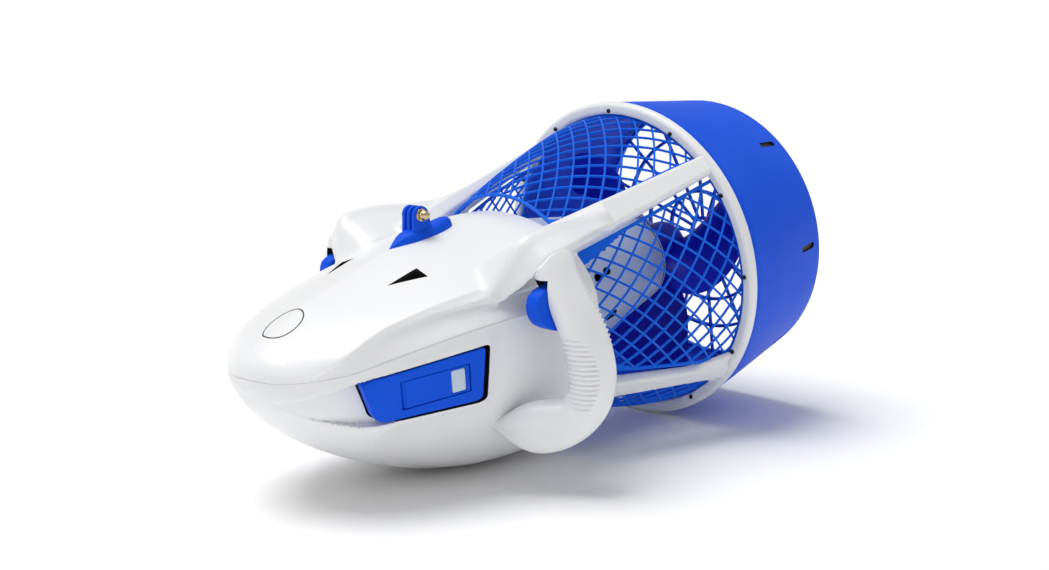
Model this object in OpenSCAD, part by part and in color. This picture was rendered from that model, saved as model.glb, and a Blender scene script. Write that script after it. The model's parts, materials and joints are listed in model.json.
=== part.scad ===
// Underwater scooter: a shark-nosed hull with two grip loops, a caged motor pod and a ducted
// propeller. Millimetres. Everything is drawn along the propeller axis (Y, nose towards -Y,
// port side towards +X, ring face at y = 0) and then laid down on the ground by place().

/* [Duct] */
// Outer radius of the guard ring around the propeller duct
ring_r = 152; // [149:1:153]
// Length of the guard ring along the propeller axis
ring_len = 10; // [9:0.5:12]
// Radius of the duct's outlet at the tail
outlet_r = 134; // [132:1:137]
// Distance from the ring face to the tail edge of the duct
duct_len = 136; // [134:1:150]
// Wall of the duct
duct_wall = 3; // [2.5:0.25:3.5]

/* [Hull] */
// Wall of the two hull shells
hull_wall = 3.2; // [2.6:0.2:3.6]
// Thickness of the seal between the two hull shells
gasket_t = 1.2; // [1:0.1:1.6]

/* [Cage] */
// Width of a lattice bar
cage_bar = 3.2; // [2.8:0.2:4]
// Distance between parallel lattice bars
cage_pitch = 17; // [16:1:22]

/* [Propeller] */
// Tip radius of the propeller blades
prop_r = 127; // [110:1:128]
// Number of propeller blades
blades = 3; // [2:1:4]

/* [Camera mount] */
// Radius of the hole through the three camera prongs
prong_bore_r = 2.6; // [2.55:0.05:2.7]

/* [Hidden] */
$fn = 64;
eps = 0.01;

white = "#f4f5f7";
blue = "#1f55e0";
light_blue = "#2f7bee";
indigo = "#1f2fae";
pale_grey = "#c9d2de";
black = "#17181b";
steel = "#aab0b8";
brass = "#b9974e";
copper_red = "#b3261e";
board_green = "#1f6b3a";

// Hull stations: [y, half width, height of the widest line, top, bottom, upper power, lower power]
hull_stations = [
    [-412, 12, 16, 21, 9, 2.2, 2.2],
    [-405, 31, 14, 28, -10, 2.2, 2.1],
    [-390, 51, 15, 36, -31, 2.1, 2.1],
    [-365, 69, 18, 46, -55, 2.0, 2.1],
    [-332, 86, 22, 57, -77, 1.9, 2.1],
    [-295, 98, 26, 68, -96, 1.8, 2.2],
    [-255, 107, 28, 77, -111, 1.8, 2.3],
    [-215, 113, 26, 80, -119, 1.8, 2.3],
    [-180, 114, 20, 83, -122, 1.9, 2.3],
    [-150, 111, 14, 80, -122, 2.0, 2.3]];
hull_rear_y = -150;
hull_nose_y = -412;
rings_per_span = 3;
arc_steps = 26;

// The scooter lies on the low point of its belly and on the rim of the guard ring.
belly_rest = [hull_stations[7][0], hull_stations[7][4]];
ring_chamfer = 2;
rest_pitch = atan((ring_r + belly_rest[1]) / (ring_chamfer - belly_rest[0]));
rest_height = ring_r * cos(rest_pitch) - ring_chamfer * sin(rest_pitch);
// Moves the middle of the scooter's length onto the origin.
centre_y = 127.94;

ring_bore_r = 141;
ring_screw_circle_r = 145.5;
ring_screws_count = 12;
strut_upper_angle = 42;
strut_lower_angle = -39;
shaft_r = 5;
pod_front_r = 72;
pod_rear_r = 42;
pod_rear_y = 12;
motor_r = 34;

// Grip centreline from the wing down to the belly: [x, y, z, half depth, half width]
grip_stations = [
    [127, -216.5, 70, 20, 14],
    [142, -216, 40, 20, 13.8],
    [148.5, -213.5, 24, 20, 13.6],
    [152.5, -211, 4, 20, 13.8],
    [153.5, -208.5, -20, 20.4, 14],
    [150, -210, -40, 20, 15],
    [141, -217, -55, 18.5, 17],
    [128, -230, -60.5, 16.5, 20],
    [115, -241, -61, 14.5, 19.5],
    [102, -247, -60.5, 13, 15],
    [93, -250, -60, 12, 12]];
grip_joint_z = 62;
grip_foot_x = 97;
grip_foot = [-248, -60];

// Trigger pivot, seen along X
trigger_pivot = [-216, 49];
trigger_x = [124, 138];
trigger_pin_r = 2;

// Latch frame on the port side: place of the hinge, turn and lean that follow the hull
latch_origin = [84.5, -334, -9];
latch_yaw = -15.5;
latch_lean = 7;
lever_size = [52, 21.6];
pivot_w = -2.4;

camera_pivot = [-238, 98];
mount_pad_z = 82;

function smooth_step(a, b, c, d, t) =
    b + t * ((c - a) / 2 + t * (a - 2.5 * b + 2 * c - d / 2 + t * ((3 * b - 3 * c + d - a) / 2)));
function at(v, i) = v[max(0, min(len(v) - 1, i))];
// Value of a station list between its entries, u counted in entries
function between(list, u) = let (i = min(floor(u), len(list) - 2))
    smooth_step(at(list, i - 1), list[i], list[i + 1], at(list, i + 2), u - i);
function signed_power(v, p) = sign(v) * pow(abs(v), p);
// Point on a hull section: s is a station, a the angle from port, inset goes inwards
function hull_point(s, a, inset) = let (
    up = a >= 0,
    p = 2 / (up ? s[5] : s[6]),
    half = s[1] - inset,
    rise = (up ? s[3] - s[2] : s[2] - s[4]) - inset)
    [half * signed_power(cos(a), p), s[0], s[2] + rise * signed_power(sin(a), p)];
hull_rings = [for (u = [0 : 1 / rings_per_span : len(hull_stations) - 1 + eps])
    between(hull_stations, min(u, len(hull_stations) - 1))];
function hull_arc(s, from, to, inset) = [for (k = [0 : arc_steps])
    hull_point(s, from + (to - from) * k / arc_steps, inset)];

function quad(a, b, c, d) = [[a, b, c], [a, c, d]];
function flat(list) = [for (part = list) each part];

// Closed solid between two matching grids of points, an outer and an inner skin. The first row is
// closed with a cap when capped is true, and left open like the last row when it is false.
module double_skin(outer, inner, capped) {
    n = len(outer);
    m = len(outer[0]);
    far = n * m;
    function id(i, j) = i * m + j;
    skin = flat([for (i = [0 : n - 2]) each [for (j = [0 : m - 2])
        quad(id(i, j), id(i, j + 1), id(i + 1, j + 1), id(i + 1, j))]]);
    back = [for (f = skin) [f[0] + far, f[2] + far, f[1] + far]];
    sides = flat([for (i = [0 : n - 2]) each [
        quad(id(i, 0), id(i + 1, 0), far + id(i + 1, 0), far + id(i, 0)),
        quad(id(i + 1, m - 1), id(i, m - 1), far + id(i, m - 1), far + id(i + 1, m - 1))]]);
    rear = flat([for (j = [0 : m - 2])
        quad(id(n - 1, j), id(n - 1, j + 1), far + id(n - 1, j + 1), far + id(n - 1, j))]);
    front = flat([for (j = [0 : m - 2])
        quad(id(0, j + 1), id(0, j), far + id(0, j), far + id(0, j + 1))]);
    cap = concat(
        [for (j = [1 : m - 2]) [id(0, 0), id(0, j + 1), id(0, j)]],
        [for (j = [1 : m - 2]) [far + id(0, 0), far + id(0, j), far + id(0, j + 1)]],
        quad(id(0, 0), far + id(0, 0), far + id(0, m - 1), id(0, m - 1)));
    faces = concat(skin, back, sides, rear, capped ? cap : front);
    polyhedron(concat(flat(outer), flat(inner)), faces, convexity = 8);
}

// Closed solid through a list of closed rings of points
module lofted(rings) {
    n = len(rings);
    m = len(rings[0]);
    function id(i, j) = i * m + j % m;
    skin = flat([for (i = [0 : n - 2]) each [for (j = [0 : m - 1])
        quad(id(i, j), id(i, j + 1), id(i + 1, j + 1), id(i + 1, j))]]);
    first = [for (j = [1 : m - 2]) [id(0, 0), id(0, j + 1), id(0, j)]];
    last = [for (j = [1 : m - 2]) [id(n - 1, 0), id(n - 1, j), id(n - 1, j + 1)]];
    polyhedron(flat(rings), concat(skin, first, last), convexity = 6);
}

// Lays the scooter down nose low, so that belly and ring rim touch the ground.
module place() { translate([0, centre_y, rest_height]) rotate([rest_pitch, 0, 0]) children(); }
// Turns the z axis into the propeller axis and starts at y.
module axial(y) { translate([0, y, 0]) rotate([-90, 0, 0]) children(); }
// Turns the z axis into the x axis and starts at p.
module across(p) { translate(p) rotate([0, 90, 0]) children(); }
// Solid of revolution about the propeller axis from points [radius, y]
module lathe(points) { rotate([-90, 0, 0]) rotate_extrude($fn = 96) polygon(points); }
module starboard() { mirror([1, 0, 0]) children(); }
module both_sides() { children(); mirror([1, 0, 0]) children(); }
module latch_frame() { translate(latch_origin) rotate([0, 0, latch_yaw]) rotate([0, latch_lean, 0]) children(); }
// Plate in the latch frame: u runs aft, v runs up, w runs outwards
module latch_plate(points, w0, w1) {
    translate([w0, 0, 0]) rotate([90, 0, 90]) linear_extrude(w1 - w0) polygon(points);
}

// ---- Hull ----
// One hull shell between two section angles; the inner skin stays a wall's width behind the nose.
module hull_shell(from, to, edge_shift) {
    sections = [for (s = hull_rings) [s[0], s[1], s[2] + edge_shift, s[3], s[4], s[5], s[6]]];
    outer = [for (s = sections) hull_arc(s, from, to, 0)];
    inner = [for (s = sections) [for (p = hull_arc(s, from, to, hull_wall))
        [p[0], max(p[1], hull_nose_y + hull_wall), p[2]]]];
    double_skin(outer, inner, true);
}

wing_anchor = [88, -222, 52];
wing_tip = [106, -260, 42];
wing_crest = [127, -212, 75];
wing_heel = [124, -192, 68];
wing_brow = [124, -238, 65];
wing_shoulder = [111, -220, 79];
strut_root_r = 108;
strut_root = [14, 26];
strut_end_r = 146.5;
strut_end = [8.6, 19];
module strut_slice(angle, r, y, section) {
    rotate([0, -angle, 0]) translate([r, y, 0]) cube([section[0], 0.4, section[1]], center = true);
}
// Shoulder that carries the grip loop and the upper strut
module wing() {
    hull() {
        translate(wing_anchor) sphere(6, $fn = 24);
        translate(wing_tip) sphere(5, $fn = 24);
        translate(wing_crest) sphere(9, $fn = 28);
        translate(wing_heel) sphere(8, $fn = 24);
        translate(wing_brow) sphere(4, $fn = 24);
        translate(wing_shoulder) sphere(6, $fn = 24);
        translate([grip_stations[0][0], grip_stations[0][1], grip_joint_z]) cylinder(r = 16, h = 8, $fn = 32);
        strut_slice(strut_upper_angle - 3, strut_root_r, hull_rear_y - 0.2, strut_root);
    }
}

leaf = [[0, -30], [8, -18], [11, 0], [9, 14], [0, 31], [-9, 14], [-11, 0], [-8, -18]];
leaf_y = -236;
mount_screws_y = [-254, -219];
dowel_places = [[122, -211], [136, -209]];
dowel_r = 2.5;
vent_outline = [[39, -302], [54, -276.5], [40, -275]];
vent_middle = [44.3, -284.5];
vent_z = [30, 80];
module vent_prism(grow, z0, z1) {
    points = [for (p = vent_outline) vent_middle + (p - vent_middle) * grow];
    translate([0, 0, z0]) linear_extrude(z1 - z0) polygon(points);
}

module upper_hull() {
    color(white) place() difference() {
        union() {
            hull_shell(0, 180, 0);
            both_sides() intersection() {
                wing();
                translate([0, -300, 0]) cube([160, hull_rear_y + 300, 100]);
            }
            translate([0, leaf_y, 70]) linear_extrude(mount_pad_z - 70) polygon(leaf);
        }
        both_sides() {
            translate([112, -256, 0]) cube([65, 82, grip_joint_z]);
            for (d = dowel_places) translate([d[0], d[1], 50]) cylinder(r = dowel_r + 0.03, h = 22);
            vent_prism(1.06, vent_z[0], vent_z[1]);
        }
        for (y = mount_screws_y) translate([0, y, 60]) cylinder(r = 1.7, h = 30);
    }
}

window_outline = [[-32, 15], [-26, 18], [67, 21], [62, -19], [57, -21], [-18, -17], [-25, -13]];
module panel_window() {
    latch_frame() latch_plate([for (p = window_outline) p * 1.03], -12, 12);
}
foot_pad_r = 12;
module lower_hull() {
    color(white) place() difference() {
        union() {
            hull_shell(-180, 0, -gasket_t);
            both_sides() across([80, grip_foot[0], grip_foot[1]]) cylinder(r = foot_pad_r, h = grip_foot_x - 80);
        }
        both_sides() {
            panel_window();
            across([70, grip_foot[0], grip_foot[1]]) cylinder(r = 2.7, h = 30);
            across([70, grip_foot[0], grip_foot[1]]) cylinder(r = 6, h = 20);
        }
    }
}

module hull_gasket() {
    gap = 0.06;
    edge = 0.5;
    width = 2.6;
    function rim(s, side, inset) = [side * (s[1] - inset),
        max(s[0], hull_nose_y + inset), s[2] - gap];
    count = len(hull_rings);
    path = concat([for (i = [count - 1 : -1 : 0]) [hull_rings[i], 1]],
        [for (i = [0 : count - 1]) [hull_rings[i], -1]]);
    top = [for (p = path) [rim(p[0], p[1], edge), rim(p[0], p[1], edge + width)]];
    bottom = [for (row = top) [for (q = row) q - [0, 0, gasket_t - 2 * gap]]];
    color(black) place() double_skin(top, bottom, false);
}

bulkhead_t = 4;
module rear_bulkhead() {
    s = hull_rings[len(hull_rings) - 1];
    outline = [for (a = [0 : 8 : 352]) let (p = hull_point(s, a > 180 ? a - 360 : a, hull_wall + 0.5)) [p[0], p[2]]];
    color(pale_grey) place() difference() {
        translate([0, hull_rear_y, 0]) rotate([90, 0, 0]) linear_extrude(bulkhead_t) polygon(outline);
        axial(hull_rear_y - 10) cylinder(r = 20, h = 20);
        axial(hull_rear_y - 10) for (a = [45 : 90 : 315]) rotate([0, 0, a]) translate([48, 0, 0]) cylinder(r = 2.2, h = 20);
    }
}

module top_vents() {
    color(black) place() both_sides() vent_prism(0.96, 50, 58);
}

// ---- Side latches ----
pocket = [[-3.6, -11.2], [lever_size[0] + 0.8, -11.2], [lever_size[0] + 0.8, 11.2], [-3.6, 11.2]];
pin_half = 14.4;
module side_panel() {
    color(blue) place() latch_frame() difference() {
        latch_plate(window_outline, -6.6, 0.4);
        latch_plate(pocket, -5.4, 5);
        translate([pivot_w, 0, -pin_half]) cylinder(r = 1.02, h = 2 * pin_half);
    }
}
module side_panel_port() { side_panel(); }
module side_panel_starboard() { starboard() side_panel(); }

button_outline = [[37, -9], [48.4, -9], [48.4, 9], [37, 9]];
module latch_lever() {
    half = lever_size[1] / 2;
    color(blue) place() latch_frame() difference() {
        union() {
            latch_plate([[0, -half], [lever_size[0], -half], [lever_size[0], half], [0, half]], -3.4, 0.2);
            translate([pivot_w, 0, -half]) cylinder(r = 2.6, h = lever_size[1]);
        }
        translate([pivot_w, 0, -half - 1]) cylinder(r = 1.06, h = lever_size[1] + 2);
        latch_plate([[36.6, -9.4], [48.8, -9.4], [48.8, 9.4], [36.6, 9.4]], -8, 5);
    }
}
module latch_lever_port() { latch_lever(); }
module latch_lever_starboard() { starboard() latch_lever(); }
module release_button() { color(pale_grey) place() latch_frame() latch_plate(button_outline, -3, 0.4); }
module release_button_port() { release_button(); }
module release_button_starboard() { starboard() release_button(); }
module latch_pins() {
    color(steel) place() both_sides() latch_frame()
        translate([pivot_w, 0, -pin_half]) cylinder(r = 1, h = 2 * pin_half);
}

// ---- Camera mount ----
prong_t = 3;
prong_step = 6.2;
prong_r = 7.5;
base_t = 4;
module camera_mount() {
    color(blue) place() difference() {
        union() {
            translate([0, leaf_y, mount_pad_z]) linear_extrude(base_t) polygon(leaf);
            for (x = [-prong_step, 0, prong_step]) {
                across([x - prong_t / 2, camera_pivot[0], camera_pivot[1]]) cylinder(r = prong_r, h = prong_t);
                translate([x - prong_t / 2, camera_pivot[0] - prong_r, mount_pad_z + 1])
                    cube([prong_t, 2 * prong_r, camera_pivot[1] - mount_pad_z - 1]);
            }
        }
        across([-20, camera_pivot[0], camera_pivot[1]]) cylinder(r = prong_bore_r, h = 40);
        for (y = mount_screws_y) translate([0, y, mount_pad_z - 1]) cylinder(r = 1.55, h = 4);
    }
}
nut_x = prong_step + prong_t / 2 + 0.1;
nut_bore_r = 2.1;
module camera_mount_nut() {
    color(brass) place() across([nut_x, camera_pivot[0], camera_pivot[1]]) difference() {
        union() {
            cylinder(r = 4.6, h = 4, $fn = 6);
            translate([0, 0, 4]) intersection() {
                sphere(3.9);
                cylinder(r = 5, h = 5);
            }
        }
        translate([0, 0, -1]) cylinder(r = nut_bore_r, h = 6);
    }
}
module camera_mount_screws() {
    color(steel) place() for (y = mount_screws_y) translate([0, y, 0]) {
        translate([0, 0, 67.8]) cylinder(r = 1.5, h = 16.5);
        translate([0, 0, 66]) cylinder(r = 3, h = 2);
    }
}

// ---- Duct, ring and guards ----
module ring_screw_places() {
    for (k = [0 : ring_screws_count - 1]) rotate([0, k * 360 / ring_screws_count, 0])
        translate([ring_screw_circle_r, 0, 0]) children();
}
module guard_ring() {
    color(white) place() difference() {
        lathe([[ring_bore_r, 2], [ring_bore_r + 2, 0], [ring_r - ring_chamfer, 0], [ring_r, ring_chamfer],
            [ring_r, ring_len - 1.5], [ring_r - 1.5, ring_len], [ring_bore_r, ring_len]]);
        ring_screw_places() axial(-1) cylinder(r = 1.75, h = ring_len + 2);
    }
}
slot_size = [25, 6];
slot_y = 99;
module duct_band() {
    outer_front = ring_r - 1.5;
    color(blue) place() difference() {
        lathe([[142, ring_len], [outer_front, ring_len], [outlet_r, duct_len],
            [outlet_r - duct_wall, duct_len], [outer_front - duct_wall - 1, ring_len + 14], [142, ring_len + 9]]);
        ring_screw_places() axial(ring_len - 1) cylinder(r = 1.55, h = 8);
        for (k = [0 : 7]) rotate([0, 45 * k, 0]) translate([120, slot_y, -slot_size[1] / 2])
            cube([30, slot_size[0], slot_size[1]]);
    }
}
module ring_screws() {
    color(black) place() ring_screw_places() {
        axial(-1.9) cylinder(r = 2.9, h = 1.8);
        axial(-0.6) cylinder(r = 1.5, h = ring_len + 5.5);
    }
}
guard_y = 124;
guard_t = 5;
guard_rim_r = 131;
module rear_guard() {
    hub_r = 16;
    rim = guard_rim_r;
    color(light_blue) place() difference() {
        union() {
            for (r = [hub_r, 44, 73, 102, rim]) lathe([[r - 3.4, guard_y], [r, guard_y],
                [r, guard_y + guard_t], [r - 3.4, guard_y + guard_t]]);
            for (k = [0 : 15]) rotate([0, 22.5 * k, 0]) translate([hub_r - 2, guard_y + 0.5, -1.4])
                cube([rim - hub_r, guard_t - 1, 2.8]);
        }
        axial(guard_y - 1) cylinder(r = 8, h = guard_t + 2);
    }
}

// Outer radius of the cage at points along the axis: [y, r]
cage_line = [[-148, 96], [-110, 110.5], [-60, 126.5], [-20, 137], [8, 140.7]];
cage_wall = 3;
module cage_shell(line) {
    lathe(concat([for (p = line) [p[1], p[0]]],
        [for (i = [len(line) - 1 : -1 : 0]) [line[i][1] - cage_wall, line[i][0]]]));
}
module sector_outline(line, half_angle, inset) {
    edge = sin(half_angle);
    last = len(line) - 1;
    function end_y(i) = line[i][0] + (i == 0 ? inset : i == last ? -inset : 0);
    upper = [for (i = [0 : last]) [end_y(i), line[i][1] * edge - inset]];
    lower = [for (i = [last : -1 : 0]) [end_y(i), inset - line[i][1] * edge]];
    polygon(concat(upper, lower));
}
module lattice(line, half_angle) {
    count = 9;
    cell = cage_pitch - cage_bar;
    difference() {
        sector_outline(line, half_angle, 0);
        intersection() {
            sector_outline(line, half_angle, 4);
            translate([-70, 0]) rotate(45) for (i = [-count : count], j = [-count : count])
                translate([i, j] * cage_pitch - [cell, cell] / 2) square(cell);
        }
    }
}
module cage_panel(middle, half_angle, line) {
    color(light_blue) place() rotate([0, -middle, 0]) intersection() {
        cage_shell(line);
        translate([50, 0, 0]) rotate([90, 0, 90]) linear_extrude(100) lattice(line, half_angle);
    }
}
side_middle = 1.5;
module cage_top() { cage_panel(90, 38, cage_line); }
module cage_port() { cage_panel(side_middle, 31, cage_line); }
module cage_starboard() { cage_panel(180 - side_middle, 31, cage_line); }
module cage_bottom() { cage_panel(-90, 43, cage_line); }

module strut(angle, lean, root_r, root) {
    color(white) place() hull() {
        strut_slice(angle - lean, root_r, hull_rear_y + 0.2, root);
        strut_slice(angle, strut_end_r, -0.2, strut_end);
    }
}
module strut_upper_port() { strut(strut_upper_angle, 3, strut_root_r, strut_root); }
module strut_upper_starboard() { starboard() strut_upper_port(); }
module strut_lower_port() { strut(strut_lower_angle, 0, 105, [12, 20]); }
module strut_lower_starboard() { starboard() strut_lower_port(); }

// ---- Grips and triggers ----
grip_ring_sides = 20;
function grip_at(u) = between(grip_stations, u);
// Section of the grip at station u, square to its centreline
function grip_ring(u) = let (
    here = grip_at(u),
    ahead = grip_at(min(u + 0.05, len(grip_stations) - 1)),
    behind = grip_at(max(u - 0.05, 0)),
    along = [for (i = [0 : 2]) ahead[i] - behind[i]],
    dir = along / norm(along),
    side_raw = cross(dir, [0, 1, 0]),
    side = side_raw / norm(side_raw),
    fore = cross(side, dir))
    [for (k = [0 : grip_ring_sides - 1]) let (a = 360 * k / grip_ring_sides)
        [here[0], here[1], here[2]] + fore * here[3] * cos(a) - side * here[4] * sin(a)];
trigger_box = [[118.5, -224, 40], [146, -198, 60]];
module handle() {
    last = len(grip_stations) - 1;
    color(white) place() difference() {
        intersection() {
            union() {
                lofted([for (u = [0 : 0.25 : last + eps]) grip_ring(min(u, last))]);
                translate(trigger_box[0]) cube(trigger_box[1] - trigger_box[0]);
            }
            translate([grip_foot_x, -320, -100]) cube([100, 200, 100 + grip_joint_z]);
        }
        translate([trigger_x[0] - 0.7, -270, 6]) cube([trigger_x[1] - trigger_x[0] + 1.4, 71, 51]);
        across([trigger_box[0][0] + 0.8, trigger_pivot[0], trigger_pivot[1]]) cylinder(r = trigger_pin_r + 0.02, h = 26);
        for (d = dowel_places) translate([d[0], d[1], 56.5]) cylinder(r = dowel_r + 0.03, h = 10);
        across([90, grip_foot[0], grip_foot[1]]) cylinder(r = 2.05, h = 22);
        across([trigger_x[1], -206, 24]) cylinder(r = 2.3, h = 14);
    }
}
module handle_port() { handle(); }
module handle_starboard() { starboard() handle(); }
module handle_dowels() {
    color(steel) place() both_sides() for (d = dowel_places) translate([d[0], d[1], 57]) cylinder(r = dowel_r, h = 13);
}
module handle_screws() {
    color(steel) place() both_sides() {
        across([84, grip_foot[0], grip_foot[1]]) cylinder(r = 2, h = 27);
        across([80, grip_foot[0], grip_foot[1]]) cylinder(r = 4, h = 5);
    }
}

trigger_outline = [[-241, 52.5], [-232, 55], [-216, 55], [-209.5, 49], [-210.5, 41], [-214, 30],
    [-216.5, 16], [-219, 12.6], [-231, 17.5], [-240.5, 23.5], [-244.5, 31], [-245, 39]];
trigger_slot_x = [128, 134];
magnet_place = [-222, 24];
module trigger() {
    color(blue) place() difference() {
        across([trigger_x[0], 0, 0]) linear_extrude(trigger_x[1] - trigger_x[0])
            polygon([for (p = trigger_outline) [-p[1], p[0]]]);
        across([trigger_x[0] - 1, trigger_pivot[0], trigger_pivot[1]]) cylinder(r = trigger_pin_r + 0.07, h = 20);
        across([trigger_slot_x[0], trigger_pivot[0], trigger_pivot[1]]) cylinder(r = 6, h = 6);
        across([trigger_x[1] - 4, magnet_place[0], magnet_place[1]]) cylinder(r = 3.03, h = 6);
    }
}
module trigger_port() { trigger(); }
module trigger_starboard() { starboard() trigger(); }
module trigger_pins() {
    color(steel) place() both_sides()
        across([trigger_box[0][0] + 1, trigger_pivot[0], trigger_pivot[1]]) cylinder(r = trigger_pin_r, h = 25.4);
}
module trigger_springs() {
    color(steel) place() both_sides() across([trigger_slot_x[0] + 0.4, trigger_pivot[0], trigger_pivot[1]]) difference() {
        cylinder(r = 4.4, h = 5.2);
        translate([0, 0, -1]) cylinder(r = trigger_pin_r + 0.4, h = 8);
    }
}
module trigger_magnet() {
    color(steel) place() across([trigger_x[1] - 3.8, magnet_place[0], magnet_place[1]]) cylinder(r = 3, h = 3.6);
}
module trigger_magnet_port() { trigger_magnet(); }
module trigger_magnet_starboard() { starboard() trigger_magnet(); }
module reed_switches() {
    color(black) place() both_sides() across([trigger_x[1] + 1, -206, 24]) cylinder(r = 2, h = 12);
}

// ---- Battery and electronics ----
battery_size = [65, 151, 94];
battery_corner = [-battery_size[0] / 2, -318, -72];
battery_top = battery_corner[2] + battery_size[2];
module battery() { color(black) place() translate(battery_corner) cube(battery_size); }
cradle_y = [-302, -200];
cradle_len = 18;
module battery_tray() {
    color(pale_grey) place() difference() {
        union() {
            for (y = cradle_y) translate([-48, y, -75.6]) cube([96, cradle_len, 34]);
            translate([-28, cradle_y[0], -75.6]) cube([56, cradle_y[1] - cradle_y[0] + cradle_len, 3.4]);
        }
        translate(battery_corner - [0.2, 5, 0.1]) cube(battery_size + [0.4, 10, 0]);
    }
}
strap_y = -252;
strap_w = 20;
module battery_strap() {
    inner_half = battery_size[0] / 2 + 0.3;
    low = -75.8;
    color(indigo) place() difference() {
        translate([-inner_half - 1.5, strap_y, low - 1.5]) cube([2 * inner_half + 3, strap_w, battery_top - low + 3.3]);
        translate([-inner_half, strap_y - 1, low]) cube([2 * inner_half, strap_w + 2, battery_top - low + 0.3]);
    }
}
terminal_x = 20;
terminal_y = -176;
module battery_terminals() {
    color(brass) place() for (x = [-terminal_x, terminal_x])
        translate([x - 3, terminal_y, battery_top]) cube([6, 1, 8]);
}
board_z = 38;
board_y = [-316, -256];
bracket_z = battery_top + 2.4;
posts = [for (x = [-26, 26], y = [board_y[0] + 5, board_y[1] - 5]) [x, y]];
module board_bracket() {
    color(pale_grey) place() difference() {
        union() {
            translate([-30, board_y[0], bracket_z]) cube([60, board_y[1] - board_y[0], 2.5]);
            for (p = posts) translate([p[0], p[1], bracket_z]) cylinder(r = 3.2, h = board_z - bracket_z);
        }
        translate([-20, board_y[0] + 14, bracket_z - 1]) cube([40, 32, 5]);
    }
}
module controller_board() {
    color(board_green) place() difference() {
        translate([-30, board_y[0], board_z]) cube([60, board_y[1] - board_y[0], 1.6]);
        for (p = posts) translate([p[0], p[1], board_z - 1]) cylinder(r = 1.6, h = 4);
    }
}
module board_capacitors() {
    color(indigo) place() for (x = [-14, 0, 14]) translate([x, -274, board_z + 1.6]) cylinder(r = 5, h = 12);
}
module power_relay() {
    color(black) place() translate([-14, -306, board_z + 1.6]) cube([28, 16, 9]);
}
// Battery lead from a terminal up to the board: rings of a round tube along the route
lead_r = 2;
lead_sides = 8;
function tube_ring(route, i) = let (
    along = at(route, i + 1) - at(route, i - 1),
    dir = along / norm(along),
    side_raw = cross(dir, [0.1, 0.2, 1]),
    side = side_raw / norm(side_raw),
    other = cross(side, dir))
    [for (k = [0 : lead_sides - 1]) let (a = 360 * k / lead_sides)
        route[i] + lead_r * (other * cos(a) - side * sin(a))];
lead_route = [[20, -180, 26], [20, -185, 27], [20, -191, 31], [20, -199, 37], [19, -208, 42], [18, -217, 45],
    [17, -226, 47], [17, -234, 47], [17, -241, 46], [17, -248, 44], [17, -252, 42.5], [17, -255, 41.8]];
module lead(route) { lofted([for (i = [0 : len(route) - 1]) tube_ring(route, i)]); }
module positive_lead() { color(copper_red) place() lead(lead_route); }
module negative_lead() { color(black) place() starboard() lead(lead_route); }

// ---- Pod, motor and propeller shaft ----
motor_front_y = -146;
motor_rear_y = -48;
module motor_pod() {
    wall = 3;
    color(pale_grey) place() difference() {
        lathe([[pod_front_r, hull_rear_y], [58, -60], [pod_rear_r, pod_rear_y],
            [pod_rear_r - wall, pod_rear_y], [58 - wall, -60], [pod_front_r - wall, hull_rear_y]]);
        for (k = [0 : 5]) rotate([0, 60 * k - 17, 0]) translate([50, -108, -4]) cube([30, 34, 8]);
    }
}
bearing_r = 13;
seal_r = 11;
module pod_end_cap() {
    color(pale_grey) place() difference() {
        lathe([[shaft_r + 0.8, 2], [pod_rear_r - 3.2, 2], [pod_rear_r - 3.2, pod_rear_y], [pod_rear_r, pod_rear_y],
            [pod_rear_r, 15], [pod_rear_r - 2, 17], [shaft_r + 0.8, 17]]);
        axial(1) cylinder(r = bearing_r + 0.02, h = 8);
        axial(8) cylinder(r = seal_r + 0.02, h = 6);
        for (k = [0 : 3]) rotate([0, 90 * k + 45, 0]) translate([30, 0, 0]) axial(0) cylinder(r = 1.55, h = 20);
    }
}
module pod_screws() {
    color(black) place() for (k = [0 : 3]) rotate([0, 90 * k + 45, 0]) translate([30, 0, 0]) {
        axial(1) cylinder(r = 1.5, h = 16);
        axial(17) cylinder(r = 3, h = 1.4);
    }
}
module motor_can() {
    color(steel) place() difference() {
        axial(motor_front_y) cylinder(r = motor_r, h = motor_rear_y - motor_front_y);
        axial(motor_front_y + 10) cylinder(r = motor_r - 6, h = motor_rear_y - motor_front_y - 16);
        axial(motor_front_y + 2) cylinder(r = 9.02, h = 10);
        axial(motor_rear_y - 10) cylinder(r = shaft_r + 0.8, h = 20);
    }
}
module motor_rotor() {
    color(copper_red) place() difference() {
        axial(motor_front_y + 16) cylinder(r = motor_r - 9, h = motor_rear_y - motor_front_y - 28);
        axial(motor_front_y) cylinder(r = shaft_r, h = 120);
    }
}
module ball_bearing(y, outer, width) {
    color(steel) place() axial(y) difference() {
        cylinder(r = outer, h = width);
        translate([0, 0, -1]) cylinder(r = shaft_r + 0.03, h = width + 2);
    }
}
module front_bearing() { ball_bearing(motor_front_y + 2, 9, 7); }
module rear_bearing() { ball_bearing(2, bearing_r, 6); }
module shaft_seal() {
    color(black) place() axial(9.2) difference() {
        cylinder(r = seal_r, h = 4.6);
        translate([0, 0, -1]) cylinder(r = shaft_r + 0.05, h = 8);
    }
}
pin_y = 27;
pin_r = 2;
shaft_end_y = 83;
module propeller_shaft() {
    color(steel) place() difference() {
        axial(motor_front_y + 3) cylinder(r = shaft_r, h = shaft_end_y - motor_front_y - 3);
        across([-10, pin_y, 0]) cylinder(r = pin_r, h = 20);
    }
}
module drive_pin() { color(steel) place() across([-15, pin_y, 0]) cylinder(r = pin_r, h = 30); }

hub_r = 25;
hub_y = [20, 66];
blade_r0 = 20;
blade_mid_y = 49;
blade_rows = 9;
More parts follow.
